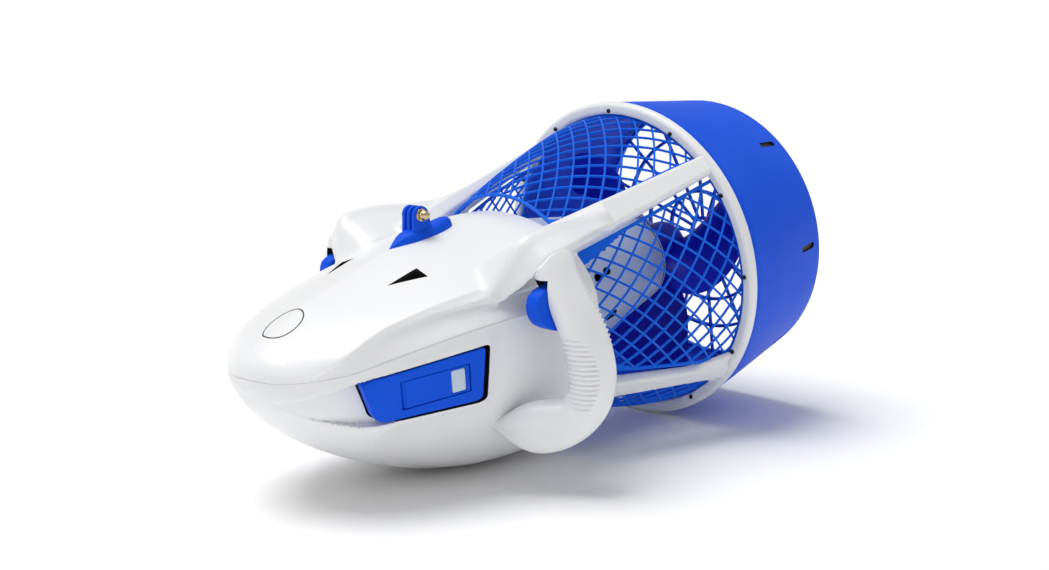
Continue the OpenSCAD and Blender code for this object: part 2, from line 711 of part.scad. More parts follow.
// Blade section at a fraction f of the span, wrapped on its own cylinder
function blade_ring(f) = let (
    r = blade_r0 + (prop_r - blade_r0) * f,
    chord = 40 + 64 * sin(150 * f + 8),
    pitch_angle = atan(34 / r * 1.6) + 4,
    thick = 7 - 4.4 * f,
    sweep = 26 * f * f,
    outline = [for (k = [0 : 11]) [chord / 2 * cos(30 * k), thick / 2 * sin(30 * k)]])
    [for (p = outline) let (
        tangent = p[0] * cos(pitch_angle) - p[1] * sin(pitch_angle),
        axis_y = p[0] * sin(pitch_angle) + p[1] * cos(pitch_angle),
        turn = sweep + tangent / r * 180 / PI)
        [r * cos(turn), blade_mid_y + axis_y * 0.9, r * sin(turn)]];
module propeller() {
    color(indigo) place() difference() {
        union() {
            lathe([[0, hub_y[0]], [hub_r, hub_y[0]], [hub_r, hub_y[1]], [hub_r - 3, hub_y[1] + 4], [0, hub_y[1] + 4]]);
            for (k = [0 : blades - 1]) rotate([0, 360 / blades * k, 0])
                lofted([for (i = [0 : blade_rows - 1]) blade_ring(i / (blade_rows - 1))]);
        }
        axial(0) cylinder(r = shaft_r + 0.03, h = 120);
        across([-15.2, pin_y, 0]) cylinder(r = pin_r + 0.04, h = 30.4);
    }
}
module propeller_nut() {
    color(steel) place() axial(hub_y[1] + 4.2) difference() {
        union() {
            cylinder(r = 9, h = 7, $fn = 6);
            translate([0, 0, 7]) cylinder(r = 7.4, h = 4);
        }
        translate([0, 0, -1]) cylinder(r = shaft_r, h = 14);
    }
}

upper_hull();
lower_hull();
hull_gasket();
rear_bulkhead();
top_vents();
side_panel_port();
side_panel_starboard();
latch_lever_port();
latch_lever_starboard();
release_button_port();
release_button_starboard();
latch_pins();
camera_mount();
camera_mount_nut();
camera_mount_screws();
guard_ring();
duct_band();
ring_screws();
rear_guard();
cage_top();
cage_port();
cage_starboard();
cage_bottom();
strut_upper_port();
strut_upper_starboard();
strut_lower_port();
strut_lower_starboard();
handle_port();
handle_starboard();
handle_dowels();
handle_screws();
trigger_port();
trigger_starboard();
trigger_pins();
trigger_springs();
trigger_magnet_port();
trigger_magnet_starboard();
reed_switches();
battery();
battery_tray();
battery_strap();
battery_terminals();
positive_lead();
negative_lead();
controller_board();
board_bracket();
board_capacitors();
power_relay();
motor_pod();
pod_end_cap();
pod_screws();
motor_can();
motor_rotor();
front_bearing();
rear_bearing();
shaft_seal();
propeller_shaft();
propeller();
drive_pin();
propeller_nut();
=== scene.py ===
"""Underwater scooter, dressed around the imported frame.

Shapes are drawn in millimetres in the propeller's frame: the axis along Y, nose towards -Y,
port side towards +X, ring face at y = 0. lay() turns them into the frame's metres.
"""
import json
import math
import bpy
import bmesh
import numpy as np
from mathutils import Matrix, Vector


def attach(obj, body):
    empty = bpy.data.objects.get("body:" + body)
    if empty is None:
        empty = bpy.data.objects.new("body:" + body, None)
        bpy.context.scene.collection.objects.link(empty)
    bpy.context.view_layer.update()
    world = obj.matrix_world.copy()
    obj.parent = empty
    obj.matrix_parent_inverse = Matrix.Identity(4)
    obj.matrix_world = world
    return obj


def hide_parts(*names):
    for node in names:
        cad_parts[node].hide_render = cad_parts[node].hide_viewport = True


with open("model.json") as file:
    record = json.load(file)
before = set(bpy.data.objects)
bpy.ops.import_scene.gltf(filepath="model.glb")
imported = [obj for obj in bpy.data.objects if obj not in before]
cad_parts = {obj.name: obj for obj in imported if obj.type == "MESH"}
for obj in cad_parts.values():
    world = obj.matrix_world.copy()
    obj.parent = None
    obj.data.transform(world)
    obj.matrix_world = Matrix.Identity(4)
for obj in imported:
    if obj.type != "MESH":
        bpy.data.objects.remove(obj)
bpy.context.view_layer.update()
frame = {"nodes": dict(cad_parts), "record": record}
scene = bpy.context.scene

# ---- The laid-down frame: belly and ring rim touch the ground ----
MM = 0.001
RING_R, RIM_Y = 152.0, 2.0
BELLY_DROP, BELLY_Y = 119.0, -215.0
PITCH = math.atan((RING_R - BELLY_DROP) / (RIM_Y - BELLY_Y))
LIFT = RING_R * math.cos(PITCH) - RIM_Y * math.sin(PITCH)
CENTRE_Y = 127.94
AXES = np.array(Matrix.Rotation(PITCH, 3, "X"))
ORIGIN = np.array([0, CENTRE_Y, LIFT]) * MM


def lay(points):
    return np.asarray(points, float) @ AXES.T * MM + ORIGIN


# ---- Camera ----
AZIMUTH, ELEVATION, BODY_PITCH = math.radians(41.9), math.radians(8.5), math.radians(7.6)
DISTANCE, SENSOR = 1.2055, 36
IMAGE_W, IMAGE_H, FOCAL_PX = 1049.0, 570.0, 1261.0
RING_PX = (622.2, 261.15)


def add_camera():
    data = bpy.data.cameras.new("camera")
    data.sensor_width = SENSOR
    data.lens = SENSOR * FOCAL_PX / IMAGE_W
    data.shift_x = (IMAGE_W / 2 - RING_PX[0]) / IMAGE_W
    data.shift_y = (RING_PX[1] - IMAGE_H / 2) / IMAGE_W
    nod = Matrix.Rotation(PITCH - BODY_PITCH, 3, "X")
    back = nod @ Vector((math.sin(AZIMUTH) * math.cos(ELEVATION),
                         -math.cos(AZIMUTH) * math.cos(ELEVATION), math.sin(ELEVATION)))
    right = (nod @ Vector((0, 0, 1))).cross(back).normalized()
    turn = Matrix((right, back.cross(right), back)).transposed().to_4x4()
    camera = bpy.data.objects.new("camera", data)
    camera.matrix_world = Matrix.Translation(Vector(ORIGIN) + back * DISTANCE) @ turn
    scene.collection.objects.link(camera)
    scene.camera = camera


add_camera()


# ---- Materials ----
def graph(name):
    material = bpy.data.materials.new(name)
    material.use_nodes = True
    nodes, links = material.node_tree.nodes, material.node_tree.links
    return material, nodes, links, nodes["Principled BSDF"]


def noise(nodes, links, scale, detail=3.0, stretch=(1, 1, 1)):
    where = nodes.new("ShaderNodeTexCoord")
    mapping = nodes.new("ShaderNodeMapping")
    mapping.inputs["Scale"].default_value = stretch
    texture = nodes.new("ShaderNodeTexNoise")
    texture.inputs["Scale"].default_value = scale
    texture.inputs["Detail"].default_value = detail
    links.new(where.outputs["Object"], mapping.inputs["Vector"])
    links.new(mapping.outputs["Vector"], texture.inputs["Vector"])
    return texture.outputs["Fac"]


def spread(nodes, links, source, low, high, from_low=0.3, from_high=0.7):
    span = nodes.new("ShaderNodeMapRange")
    for key, value in (("From Min", from_low), ("From Max", from_high),
                       ("To Min", low), ("To Max", high)):
        span.inputs[key].default_value = value
    links.new(source, span.inputs["Value"])
    return span.outputs["Result"]


def shade(color, factor):
    return (*[min(1.0, c * factor) for c in color], 1)


def tinted(nodes, links, shader, low, high, factor):
    mix = nodes.new("ShaderNodeMix")
    mix.data_type = "RGBA"
    mix.inputs["A"].default_value = low
    mix.inputs["B"].default_value = high
    links.new(factor, mix.inputs["Factor"])
    links.new(mix.outputs["Result"], shader.inputs["Base Color"])


def embossed(nodes, links, shader, height, strength, distance):
    relief = nodes.new("ShaderNodeBump")
    relief.inputs["Strength"].default_value = strength
    relief.inputs["Distance"].default_value = distance
    links.new(height, relief.inputs["Height"])
    links.new(relief.outputs["Normal"], shader.inputs["Normal"])


def moulded(name, color, rough, coat=0.0, grain=900.0, bump=0.03, variation=0.04,
            metallic=0.0, stretch=(1, 1, 1), specular=0.5):
    """Moulded or machined finish: soft colour drift, fine surface grain and uneven gloss."""
    material, nodes, links, shader = graph(name)
    tinted(nodes, links, shader, shade(color, 1 - variation), shade(color, 1 + variation),
           spread(nodes, links, noise(nodes, links, 9.0, 2.0), 0, 1))
    gloss = noise(nodes, links, 14.0, 2.0, stretch)
    links.new(spread(nodes, links, gloss, rough * 0.9, rough * 1.12), shader.inputs["Roughness"])
    embossed(nodes, links, shader, noise(nodes, links, grain, 2.0, stretch), bump, 0.00005)
    shader.inputs["Metallic"].default_value = metallic
    shader.inputs["Coat Weight"].default_value = coat
    shader.inputs["Coat Roughness"].default_value = 0.12
    shader.inputs["Specular IOR Level"].default_value = specular
    return material


def woven(name, color):
    material, nodes, links, shader = graph(name)
    where = nodes.new("ShaderNodeTexCoord")
    weave = nodes.new("ShaderNodeMath")
    weave.operation = "MULTIPLY"
    for k, direction in enumerate("XY"):
        wave = nodes.new("ShaderNodeTexWave")
        wave.bands_direction = direction
        wave.inputs["Scale"].default_value = 320.0
        links.new(where.outputs["Object"], wave.inputs["Vector"])
        links.new(wave.outputs["Fac"], weave.inputs[k])
    threads = weave.outputs["Value"]
    tinted(nodes, links, shader, shade(color, 0.6), shade(color, 1.3), threads)
    embossed(nodes, links, shader, threads, 0.6, 0.0006)
    shader.inputs["Roughness"].default_value = 0.85
    return material


FINISHES = {name: moulded(name, color, rough, **more) for name, color, rough, more in (
    ("white_plastic", (0.87, 0.875, 0.885), 0.34, dict(coat=0.12, variation=0.006)),
    ("blue_plastic", (0.003, 0.092, 0.78), 0.46, dict(specular=0.12)),
    ("light_blue_plastic", (0.004, 0.14, 0.84), 0.42, dict(specular=0.16)),
    ("indigo_plastic", (0.006, 0.016, 0.50), 0.36, dict(coat=0.05, specular=0.2)),
    ("pale_plastic", (0.56, 0.66, 0.80), 0.42, dict(specular=0.3, variation=0.02)),
    ("black_plastic", (0.012, 0.012, 0.014), 0.5, dict(grain=1400.0, bump=0.25)),
    ("black_rubber", (0.010, 0.010, 0.011), 0.72, dict(grain=1900.0, bump=0.35)),
    ("steel", (0.60, 0.62, 0.65), 0.26, dict(metallic=1.0, grain=420.0, stretch=(1, 14, 14))),
    ("motor_steel", (0.42, 0.43, 0.45), 0.36,
     dict(metallic=1.0, grain=300.0, stretch=(1, 22, 1))),
    ("black_steel", (0.014, 0.014, 0.016), 0.34, dict(metallic=0.4)),
    ("brass", (0.66, 0.52, 0.30), 0.22, dict(metallic=1.0, grain=500.0)),
    ("red_insulation", (0.50, 0.014, 0.012), 0.45, {}),
    ("black_insulation", (0.013, 0.013, 0.013), 0.45, {}),
    ("board_green", (0.012, 0.12, 0.040), 0.35, dict(coat=0.3, grain=260.0, bump=0.3)))}
FINISHES["webbing"] = woven("webbing", (0.02, 0.03, 0.22))
# Black put on the inner walls of cut holes, slots, pits and pockets: painted shade standing in for
# the shadow inside them, not the colour of the white, blue or pale parts they are cut into
PAINTED_SHADE_BLACK = FINISHES["black_plastic"]


# ---- Pieces ----
def smooth(mesh, sharp):
    """Smooth shading, with sharp edges where faces meet at more than so many degrees."""
    mesh.polygons.foreach_set("use_smooth", [True] * len(mesh.polygons))
    mesh.set_sharp_from_angle(angle=math.radians(sharp))


def mesh_object(name, points, faces, material, sharp=35.0):
    mesh = bpy.data.meshes.new(name)
    mesh.from_pydata(lay(points).tolist(), [], [tuple(int(i) for i in f) for f in faces])
    mesh.validate()
    mesh.materials.append(material)
    smooth(mesh, sharp)
    made = bpy.data.objects.new(name, mesh)
    scene.collection.objects.link(made)
    return made


def settle(made, replaces=(), body="hull"):
    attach(made, body)
    if replaces:
        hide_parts(*replaces)
    return made


def piece(name, shape, slot, replaces=(), body="hull", sharp=35.0):
    return settle(mesh_object(name, *shape, FINISHES[slot], sharp), replaces, body)


def mirrored(shape):
    points = np.asarray(shape[0], float) * [-1, 1, 1]
    return points, [tuple(f)[::-1] for f in shape[1]]


def merged(shapes):
    points, faces, start = [], [], 0
    for p, f in shapes:
        points.append(np.asarray(p, float))
        faces += [tuple(i + start for i in face) for face in f]
        start += len(p)
    return np.vstack(points), faces


SIDES = {"port": lambda shape: shape, "starboard": mirrored}


def both(shape):
    return merged([shape, mirrored(shape)])


def moved(shape, matrix):
    m = np.array(matrix)
    return np.asarray(shape[0], float) @ m[:3, :3].T + m[:3, 3], shape[1]


def around(shape, angles):
    """Copies turned about the propeller axis, angles in degrees from port towards the top."""
    return merged([moved(shape, Matrix.Rotation(-math.radians(a), 4, "Y")) for a in angles])


def combine(made, shape, operation, material=None, crossing=False):
    """Joins a closed shape to a piece or cuts it out, with its own material on the new faces.

    crossing tells that the piece's own parts run into each other.
    """
    tool = mesh_object("cutter", *shape, material or made.data.materials[0])
    step = made.modifiers.new("cut", "BOOLEAN")
    step.operation, step.solver, step.use_self = operation, "EXACT", crossing
    step.object = tool
    if material:
        step.material_mode = "TRANSFER"
    view = bpy.context.evaluated_depsgraph_get()
    result = bpy.data.meshes.new_from_object(made.evaluated_get(view), depsgraph=view)
    made.modifiers.clear()
    old, result.name = made.data, made.data.name
    made.data = result
    bpy.data.meshes.remove(old)
    bpy.data.objects.remove(tool)


def carve(made, cutters, sharp, material=None, crossing=False):
    for cutter in cutters:
        combine(made, cutter, "DIFFERENCE", material, crossing)
    smooth(made.data, sharp)


# ---- Shape builders ----
def circle(count):
    """Angles of evenly spaced points round a circle."""
    return np.linspace(0, 2 * math.pi, count, endpoint=False)


def unit(rows):
    return rows / np.linalg.norm(rows, axis=1)[:, None]


def rectangle(x_low, x_high, y_low, y_high):
    return [[x_low, y_low], [x_high, y_low], [x_high, y_high], [x_low, y_high]]


def loft(rings, closed=False, caps=True):
    """Skin through rings of equal length; closed joins the last ring to the first."""
    n, m = len(rings), len(rings[0])
    points = np.concatenate([np.asarray(r, float) for r in rings])
    faces = []
    for i in range(n if closed else n - 1):
        a, b = i * m, (i + 1) % n * m
        faces += [(a + j, a + (j + 1) % m, b + (j + 1) % m, b + j) for j in range(m)]
    if caps and not closed:
        faces += [tuple(range(m))[::-1], tuple(range((n - 1) * m, n * m))]
    return points, faces


def softened(outline, radius, steps=3):
    """Outline with each corner replaced by a small arc."""
    corners = np.asarray(outline, float)
    out = []
    for i, here in enumerate(corners):
        back, ahead = corners[i - 1] - here, corners[(i + 1) % len(corners)] - here
        reach = min(radius, 0.42 * np.linalg.norm(back), 0.42 * np.linalg.norm(ahead))
        a = here + back / np.linalg.norm(back) * reach
        b = here + ahead / np.linalg.norm(ahead) * reach
        for t in np.linspace(0, 1, steps + 1):
            out.append((1 - t) ** 2 * a + 2 * t * (1 - t) * here + t ** 2 * b)
    return np.array(out)


def area_of(outline):
    x, y = outline[:, 0], outline[:, 1]
    return 0.5 * np.sum(x * np.roll(y, -1) - np.roll(x, -1) * y)


def offset(outline, distance):
    """Outline moved inwards by distance, for an outline that runs anticlockwise."""
    edge = np.roll(outline, -1, 0) - outline
    length = np.maximum(np.linalg.norm(edge, axis=1), 1e-9)
    normal = np.stack([-edge[:, 1], edge[:, 0]], 1) / length[:, None]
    joint = normal + np.roll(normal, 1, 0)
    joint /= np.maximum(np.sum(joint * normal, 1), 0.35)[:, None]
    return outline + joint * distance


def plate(outline, low, high, bevel=0.8, corner=1.5, steps=3, crown=0.0):
    """Plate over an outline in its own x, y, from z low to high, with rounded rims."""
    flat = np.asarray(outline, float)
    if area_of(flat) < 0:
        flat = flat[::-1]
    flat = softened(flat, corner)
    rings = []
    for side, z in ((0, low), (1, high)):
        for k in range(steps + 1):
            t = math.pi / 2 * k / steps
            t = t if side == 0 else math.pi / 2 - t
            inwards, up = bevel * (1 - math.sin(t)), bevel * (1 - math.cos(t))
            ring = offset(flat, inwards)
            height = z + up if side == 0 else z - up
            rings.append(np.column_stack([ring, np.full(len(ring), height)]))
    if crown:
        middle = flat.mean(0)
        for share in (0.7, 0.4, 0.12):
            ring = middle + (offset(flat, bevel) - middle) * share
            height = high + crown * (1 - share ** 2)
            rings.append(np.column_stack([ring, np.full(len(ring), height)]))
    return loft(rings)


def reaxis(shape, order, at=(0, 0, 0)):
    """Reorders a shape's coordinates: order names where the result's x, y and z come from."""
    points = np.asarray(shape[0], float)[:, list(order)] + np.asarray(at, float)
    even = tuple(order) in ((0, 1, 2), (1, 2, 0), (2, 0, 1))
    return points, shape[1] if even else [tuple(f)[::-1] for f in shape[1]]


def slab(outline, low, high, **shape):
    """Plate over an outline in (y, z), from x low to high."""
    return reaxis(plate(outline, low, high, **shape), (2, 0, 1))


def lathe(profile, sides=192, soften=0.0, steps=3):
    """Ring swept from a closed profile of (radius, y)."""
    line = np.asarray(profile, float)
    if area_of(line) < 0:
        line = line[::-1]
    if soften:
        line = softened(line, soften, steps)
    turn = circle(sides)
    r, y = line.T
    rings = [np.column_stack([r * math.cos(a), y, r * math.sin(a)]) for a in turn]
    return loft(rings, closed=True)


def spun(profile, sides=64):
    """Solid of revolution about Y whose profile of (radius, y) starts and ends on the axis."""
    turn = circle(sides)
    rings = [np.column_stack([r * np.cos(turn), np.full(sides, y), -r * np.sin(turn)])
             for r, y in profile[1:-1]]
    points, faces = loft(rings, caps=False)
    low, high = len(points), len(points) + 1
    points = np.vstack([points, [[0, profile[0][1], 0], [0, profile[-1][1], 0]]])
    last = (len(rings) - 1) * sides
    for j in range(sides):
        k = (j + 1) % sides
        faces += [(low, k, j), (high, last + j, last + k)]
    return points, faces


def drum(radius, low, high, sides):
    return spun([(0, low), (radius, low), (radius, high), (0, high)], sides)


def tube(path, width, height=None, out=None, sides=8, closed=False, power=2.0):
    """Bar of rounded section along a path; out gives the direction of its height at each point."""
    path = np.asarray(path, float)
    height = width if height is None else height
    ahead = np.roll(path, -1, 0) - np.roll(path, 1, 0)
    if not closed:
        ahead[0], ahead[-1] = path[1] - path[0], path[-1] - path[-2]
    ahead = unit(ahead)
    out = np.tile([0.0, 0.0, 1.0], (len(path), 1)) if out is None else np.asarray(out, float)
    side = np.cross(ahead, out)
    side = unit(side)
    out = np.cross(side, ahead)
    turn = circle(sides) + math.pi / sides
    c = np.sign(np.cos(turn)) * np.abs(np.cos(turn)) ** (2 / power)
    s = np.sign(np.sin(turn)) * np.abs(np.sin(turn)) ** (2 / power)
    rings = [p + np.outer(c * width / 2, a) + np.outer(s * height / 2, b)
             for p, a, b in zip(path, side, out)]
    return loft([r[::-1] for r in rings], closed=closed)


# ---- Smooth bodies from distance fields ----
FIELD_CHUNK = 400000


def surface(field, low, high, step, rounds=4):
    """Closed quad mesh of field = 0: one point per crossed cell, pulled onto the field."""
    low = np.asarray(low, float)
    count = np.ceil((np.asarray(high, float) - low) / step).astype(int) + 1
    axes = [low[i] + step * np.arange(count[i]) for i in range(3)]
    grid = np.stack(np.meshgrid(*axes, indexing="ij"), -1).reshape(-1, 3)
    parts = np.array_split(grid, max(1, len(grid) // FIELD_CHUNK))
    value = np.concatenate([field(part) for part in parts]).reshape(count)
    cells, sums, quads = [], [], []
    for axis in range(3):
        a = np.take(value, range(count[axis] - 1), axis)
        b = np.take(value, range(1, count[axis]), axis)
        found = np.argwhere((a < 0) != (b < 0))
        at_a, at_b = a[tuple(found.T)], b[tuple(found.T)]
        place = low + found * step
        place[:, axis] += step * at_a / (at_a - at_b)
        u, v = (axis + 1) % 3, (axis + 2) % 3
        corners = []
        for du, dv in ((0, 0), (-1, 0), (-1, -1), (0, -1)):
            cell = found.copy()
            cell[:, u] += du
            cell[:, v] += dv
            corners.append(cell @ np.array([count[1] * count[2], count[2], 1]))
            cells.append(corners[-1])
            sums.append(place)
        quad = np.stack(corners, 1)
        inner = np.all((found[:, [u, v]] > 0) & (found[:, [u, v]] < count[[u, v]] - 1), 1)
        quad[at_a >= 0] = quad[at_a >= 0][:, ::-1]
        quads.append(quad[inner])
    ids, index = np.unique(np.concatenate(cells), return_inverse=True)
    total = np.concatenate(sums)
    weight = np.bincount(index)
    points = np.stack([np.bincount(index, total[:, k]) / weight for k in range(3)], 1)
    faces = np.searchsorted(ids, np.concatenate(quads))
    for _ in range(rounds):
        slope, here = gradient(field, points)
        pull = here / np.maximum(np.sum(slope ** 2, 1), 0.05)
        points -= slope * np.clip(pull, -step, step)[:, None]
    return points, faces


def gradient(field, points, reach=0.15):
    slope = np.empty_like(points)
    for k in range(3):
        nudge = np.zeros(3)
        nudge[k] = reach
        slope[:, k] = (field(points + nudge) - field(points - nudge)) / (2 * reach)
    return slope, field(points)


def blend_min(a, b, k):
    h = np.clip(0.5 + 0.5 * (b - a) / k, 0, 1)
    return b + (a - b) * h - k * h * (1 - h)


def blend_max(a, b, k):
    return -blend_min(-a, -b, k)


def rod(p, a, b, ra, rb):
    """Distance to a tapered round bar."""
    a, b = np.asarray(a, float), np.asarray(b, float)
    along = b - a
    t = np.clip((p - a) @ along / (along @ along), 0, 1)
    return np.linalg.norm(p - a - t[:, None] * along, axis=1) - (ra + (rb - ra) * t)


def web(p, corners, thickness):
    """Distance to a rounded plate over three corners."""
    a, b, c = (np.asarray(q, float) for q in corners)
    normal = np.cross(b - a, c - a)
    normal /= np.linalg.norm(normal)
    inside = np.ones(len(p), bool)
    for s, e in ((a, b), (b, c), (c, a)):
        inside &= (p - s) @ np.cross(normal, e - s) >= 0
    edges = np.minimum(rod(p, a, b, 0, 0), np.minimum(rod(p, b, c, 0, 0), rod(p, c, a, 0, 0)))
    return np.where(inside, np.abs((p - a) @ normal), edges) - thickness


def beam(p, a, b, size_a, size_b, out, rim):
    """Distance to a tapered bar of rounded rectangular section; sizes are (along out, across)."""
    a, b, out = (np.asarray(q, float) for q in (a, b, out))
    length = np.linalg.norm(b - a)
    ahead = (b - a) / length
    side = np.cross(ahead, out)
    side /= np.linalg.norm(side)
    out = np.cross(side, ahead)
    s = (p - a) @ ahead
    t = np.clip(s / length, 0, 1)
    high, wide = (i + (j - i) * t for i, j in zip(size_a, size_b))
    q = np.stack([np.abs((p - a) @ out) - high / 2 + rim,
                  np.abs((p - a) @ side) - wide / 2 + rim,
                  np.abs(s - length / 2) - length / 2 + rim])
    return np.linalg.norm(np.maximum(q, 0), axis=0) + np.minimum(np.max(q, 0), 0) - rim


def cleaned(points, faces, cuts, mirror=False, warp=None):
    """Mesh trimmed by cuts, closed again at each, and mirrored across x = 0 first on request.

    A cut is a point, a normal towards what goes, and whether it follows the height warp(y).
    """
    mesh = bmesh.new()
    for p in points:
        mesh.verts.new(p)
    mesh.verts.ensure_lookup_table()
    for f in faces:
        mesh.faces.new([mesh.verts[i] for i in f])

    def everything():
        return mesh.verts[:] + mesh.edges[:] + mesh.faces[:]

    def bend(direction):
        for v in mesh.verts:
            v.co.z += direction * float(warp(v.co.y))

    if mirror:
        bmesh.ops.bisect_plane(mesh, geom=everything(), plane_co=(0, 0, 0),
                               plane_no=(-1, 0, 0), clear_outer=True)
        bmesh.ops.mirror(mesh, geom=everything(), matrix=Matrix.Identity(4),
                         merge_dist=0.01, axis="X")
    for place, normal, bent in cuts:
        if bent:
            bend(-1)
        bmesh.ops.bisect_plane(mesh, geom=everything(), plane_co=place, plane_no=normal,
                               clear_outer=True, dist=1e-5)
        rim = [e for e in mesh.edges if e.is_boundary]
        if rim:
            bmesh.ops.triangle_fill(mesh, edges=rim, use_beauty=True, normal=normal)
        if bent:
            bend(1)
    bmesh.ops.recalc_face_normals(mesh, faces=mesh.faces[:])
    mesh.verts.index_update()
    made = (np.array([v.co[:] for v in mesh.verts]),
            [tuple(v.index for v in f.verts) for f in mesh.faces])
    mesh.free()
    return made


# ---- Hull ----
# y, half width, height of the widest line, top, bottom, upper power, lower power
STATIONS = np.array([
    [-412, 12, 15, 21, 9, 1.9, 2.2], [-405, 31, 13, 28, -10, 1.7, 2.1],
    [-390, 51, 14, 36, -31, 1.5, 2.1], [-365, 69, 17, 46, -55, 1.4, 2.1],
    [-332, 86, 21, 57, -77, 1.35, 2.1], [-295, 98, 25, 68, -96, 1.35, 2.2],
    [-255, 107, 27, 77, -110.5, 1.4, 2.3], [-215, 112, 26, 80, -118.2, 1.5, 2.3],
    [-180, 111, 20, 83, -120.6, 1.7, 2.3], [-150, 108.6, 14, 80, -121, 2.0, 2.3]])
WALL, LEAST_WALL, NOSE_Y = 3.2, 2.2, -412


def between(table, u):
    """Smooth value of a table of rows at row number u."""
    i = int(min(math.floor(u), len(table) - 2))
    a, b = table[max(i - 1, 0)], table[i]
    c, d = table[i + 1], table[min(i + 2, len(table) - 1)]
    t = u - i
    bend = a - 2.5 * b + 2 * c - d / 2 + t * ((3 * b - 3 * c + d - a) / 2)
    return b + t * ((c - a) / 2 + t * bend)


def bell(soft, reach):
    weights = np.exp(-0.5 * (np.arange(-reach, reach + 1) / soft) ** 2)
    return weights / weights.sum()


def evened(line, weights):
    """Line averaged with the weights; its ends stay where they are."""
    reach = len(weights) // 2
    ends = np.concatenate([2 * line[0] - line[reach:0:-1], line,
                           2 * line[-1] - line[-2:-reach - 2:-1]])
    return np.convolve(ends, weights, "valid")


def fine(table, steps, soft):
    """Table resampled evenly in its first column and softened over a few millimetres."""
    rows = np.array([between(table, u) for u in np.linspace(0, len(table) - 1, 40 * len(table))])
    y = np.linspace(rows[0, 0], rows[-1, 0], steps)
    weights = bell(soft, int(3 * soft))
    return np.column_stack([y] + [evened(np.interp(y, rows[:, 0], column), weights)
                                  for column in rows.T[1:]])


HULL = fine(STATIONS, 525, 6.0)
# y, half width, height of the deck's edge, depth below it
DECK = fine(np.array([
    [-412, 13, 9.5, 7], [-399, 39, 12, 9], [-377, 57, 23, 12], [-347, 71, 33.5, 14],
    [-327, 77.5, 38.5, 15], [-292, 88.5, 43, 16], [-262, 99, 44, 16], [-235, 103, 43, 16],
    [-205, 103, 42, 16], [-150, 97, 38, 16]]), 525, 6.0)


def oval(x, z, half, rise, power):
    """Distance to a section |x/half|^p + |z/rise|^p = 1, exact near its outline."""
    u, v = np.maximum(x / half, 1e-6), np.maximum(np.abs(z) / rise, 1e-6)
    s = np.maximum((u ** power + v ** power) ** (1 / power), 1e-3)
    return (s - 1) / np.hypot((u / s) ** (power - 1) / half, (v / s) ** (power - 1) / rise)


def at_y(table, y):
    return [np.interp(y, table[:, 0], table[:, k]) for k in range(1, table.shape[1])]


def hull_skin(p):
    x, y, z = np.abs(p[:, 0]), p[:, 1], p[:, 2]
    half, middle, top, low, upper, lower = at_y(HULL, y)
    above = z >= middle
    rise = np.where(above, top - middle, middle - low)
    return oval(x, z - middle, half, rise, np.where(above, upper, lower))


def deck_skin(p):
    x, y, z = np.abs(p[:, 0]), p[:, 1], p[:, 2]
    half, edge, depth = at_y(DECK, y)
    top = at_y(HULL, y)[2]
    above = z >= edge
    power = np.interp(y, [-412, -380, -260, -150], [1.6, 1.3, 1.3, 1.8])
    rise = np.where(above, top - edge, depth)
    return oval(x, z - edge, half, rise, np.where(above, power, 1.25))


# The wing above the grip: y, then x and z of its lower edge, its crest and its root in the deck
WING = fine(np.array([
    [-266, 90, 35, 88, 37, 80, 37], [-258, 94, 38, 91, 41, 80, 40],
    [-250, 99, 42, 95, 49, 80, 46], [-244, 108, 47.5, 101, 59, 80, 52],
    [-240, 116, 53, 106, 67.5, 80, 57], [-236, 123, 59.5, 109.5, 74, 80, 60],
    [-231, 128.5, 66, 112, 78, 79, 61], [-225, 131, 71, 113, 80, 78, 62],
    [-216, 132, 73.2, 113, 81, 78, 63], [-204, 131.5, 74.4, 112, 81, 78, 63],
    [-192, 129, 75, 110, 80.5, 78, 63], [-178, 123.5, 74.6, 106, 79, 78, 63],
    [-160, 115, 73.5, 100, 77, 78, 63], [-140, 107, 72, 96, 76, 80, 66],
    [-118, 100, 71, 94, 77, 84, 70]], float), 297, 6.0)
STRUT_END_R, STRUT_UPPER, STRUT_LOWER = 146.5, 42.0, -39.0


def polar(radius, angle, y):
    a = math.radians(angle)
    return np.array([radius * math.cos(a), y, radius * math.sin(a)])


UPPER_ROOT, UPPER_END = polar(108, 39, -150), polar(STRUT_END_R, STRUT_UPPER, -0.2)
# The upper strut's step for each millimetre aft
UPPER_RUN = (UPPER_END - UPPER_ROOT) / 149.8


def bar_across(x, z, x_a, z_a, x_b, z_b, r_a, r_b):
    """Distance in a section to a tapered bar from a to b."""
    dx, dz = x_b - x_a, z_b - z_a
    t = np.clip(((x - x_a) * dx + (z - z_a) * dz) / (dx * dx + dz * dz), 0, 1)
    return np.hypot(x - x_a - t * dx, z - z_a - t * dz) - (r_a + (r_b - r_a) * t)


def shoulder(p):
    """Wing that grows out of the deck, carries the grip and runs back as the upper strut."""
    x, y, z = p[:, 0], p[:, 1], p[:, 2]
    edge_x, edge_z, crest_x, crest_z, root_x, root_z = at_y(WING, y)
    wing = blend_min(bar_across(x, z, root_x, root_z, crest_x, crest_z, 8.0, 6.5),
                     bar_across(x, z, crest_x, crest_z, edge_x, edge_z, 6.5, 3.0), 4)
    wing = np.maximum(wing, np.maximum(-266 - y, y + 118))
    out = polar(1, 40.5, 0)
    arm = beam(p, UPPER_ROOT - UPPER_RUN * 45, UPPER_END + UPPER_RUN * 6,
               (17, 31), (8.6, 18), out, 3.2)
    return blend_min(wing, arm, 9)


LATCH_AT = np.array([84.5, -334, -9])
LATCH_TURN = np.array(Matrix.Rotation(math.radians(-15.5), 3, "Z")
                      @ Matrix.Rotation(math.radians(7), 3, "Y"))
# Outlines of the side panel and of its window in the hull: aft, up
PANEL = np.array([[-32, 15], [-26, 18], [67, 21], [62, -19],
                  [57, -21], [-18, -17], [-25, -13]], float)
OPENING = np.array([[-33, 15.5], [-26.5, 19], [70.5, 22.8], [65.5, -20.6],
                    [59, -22.8], [-18.5, -18.2], [-26, -14]])
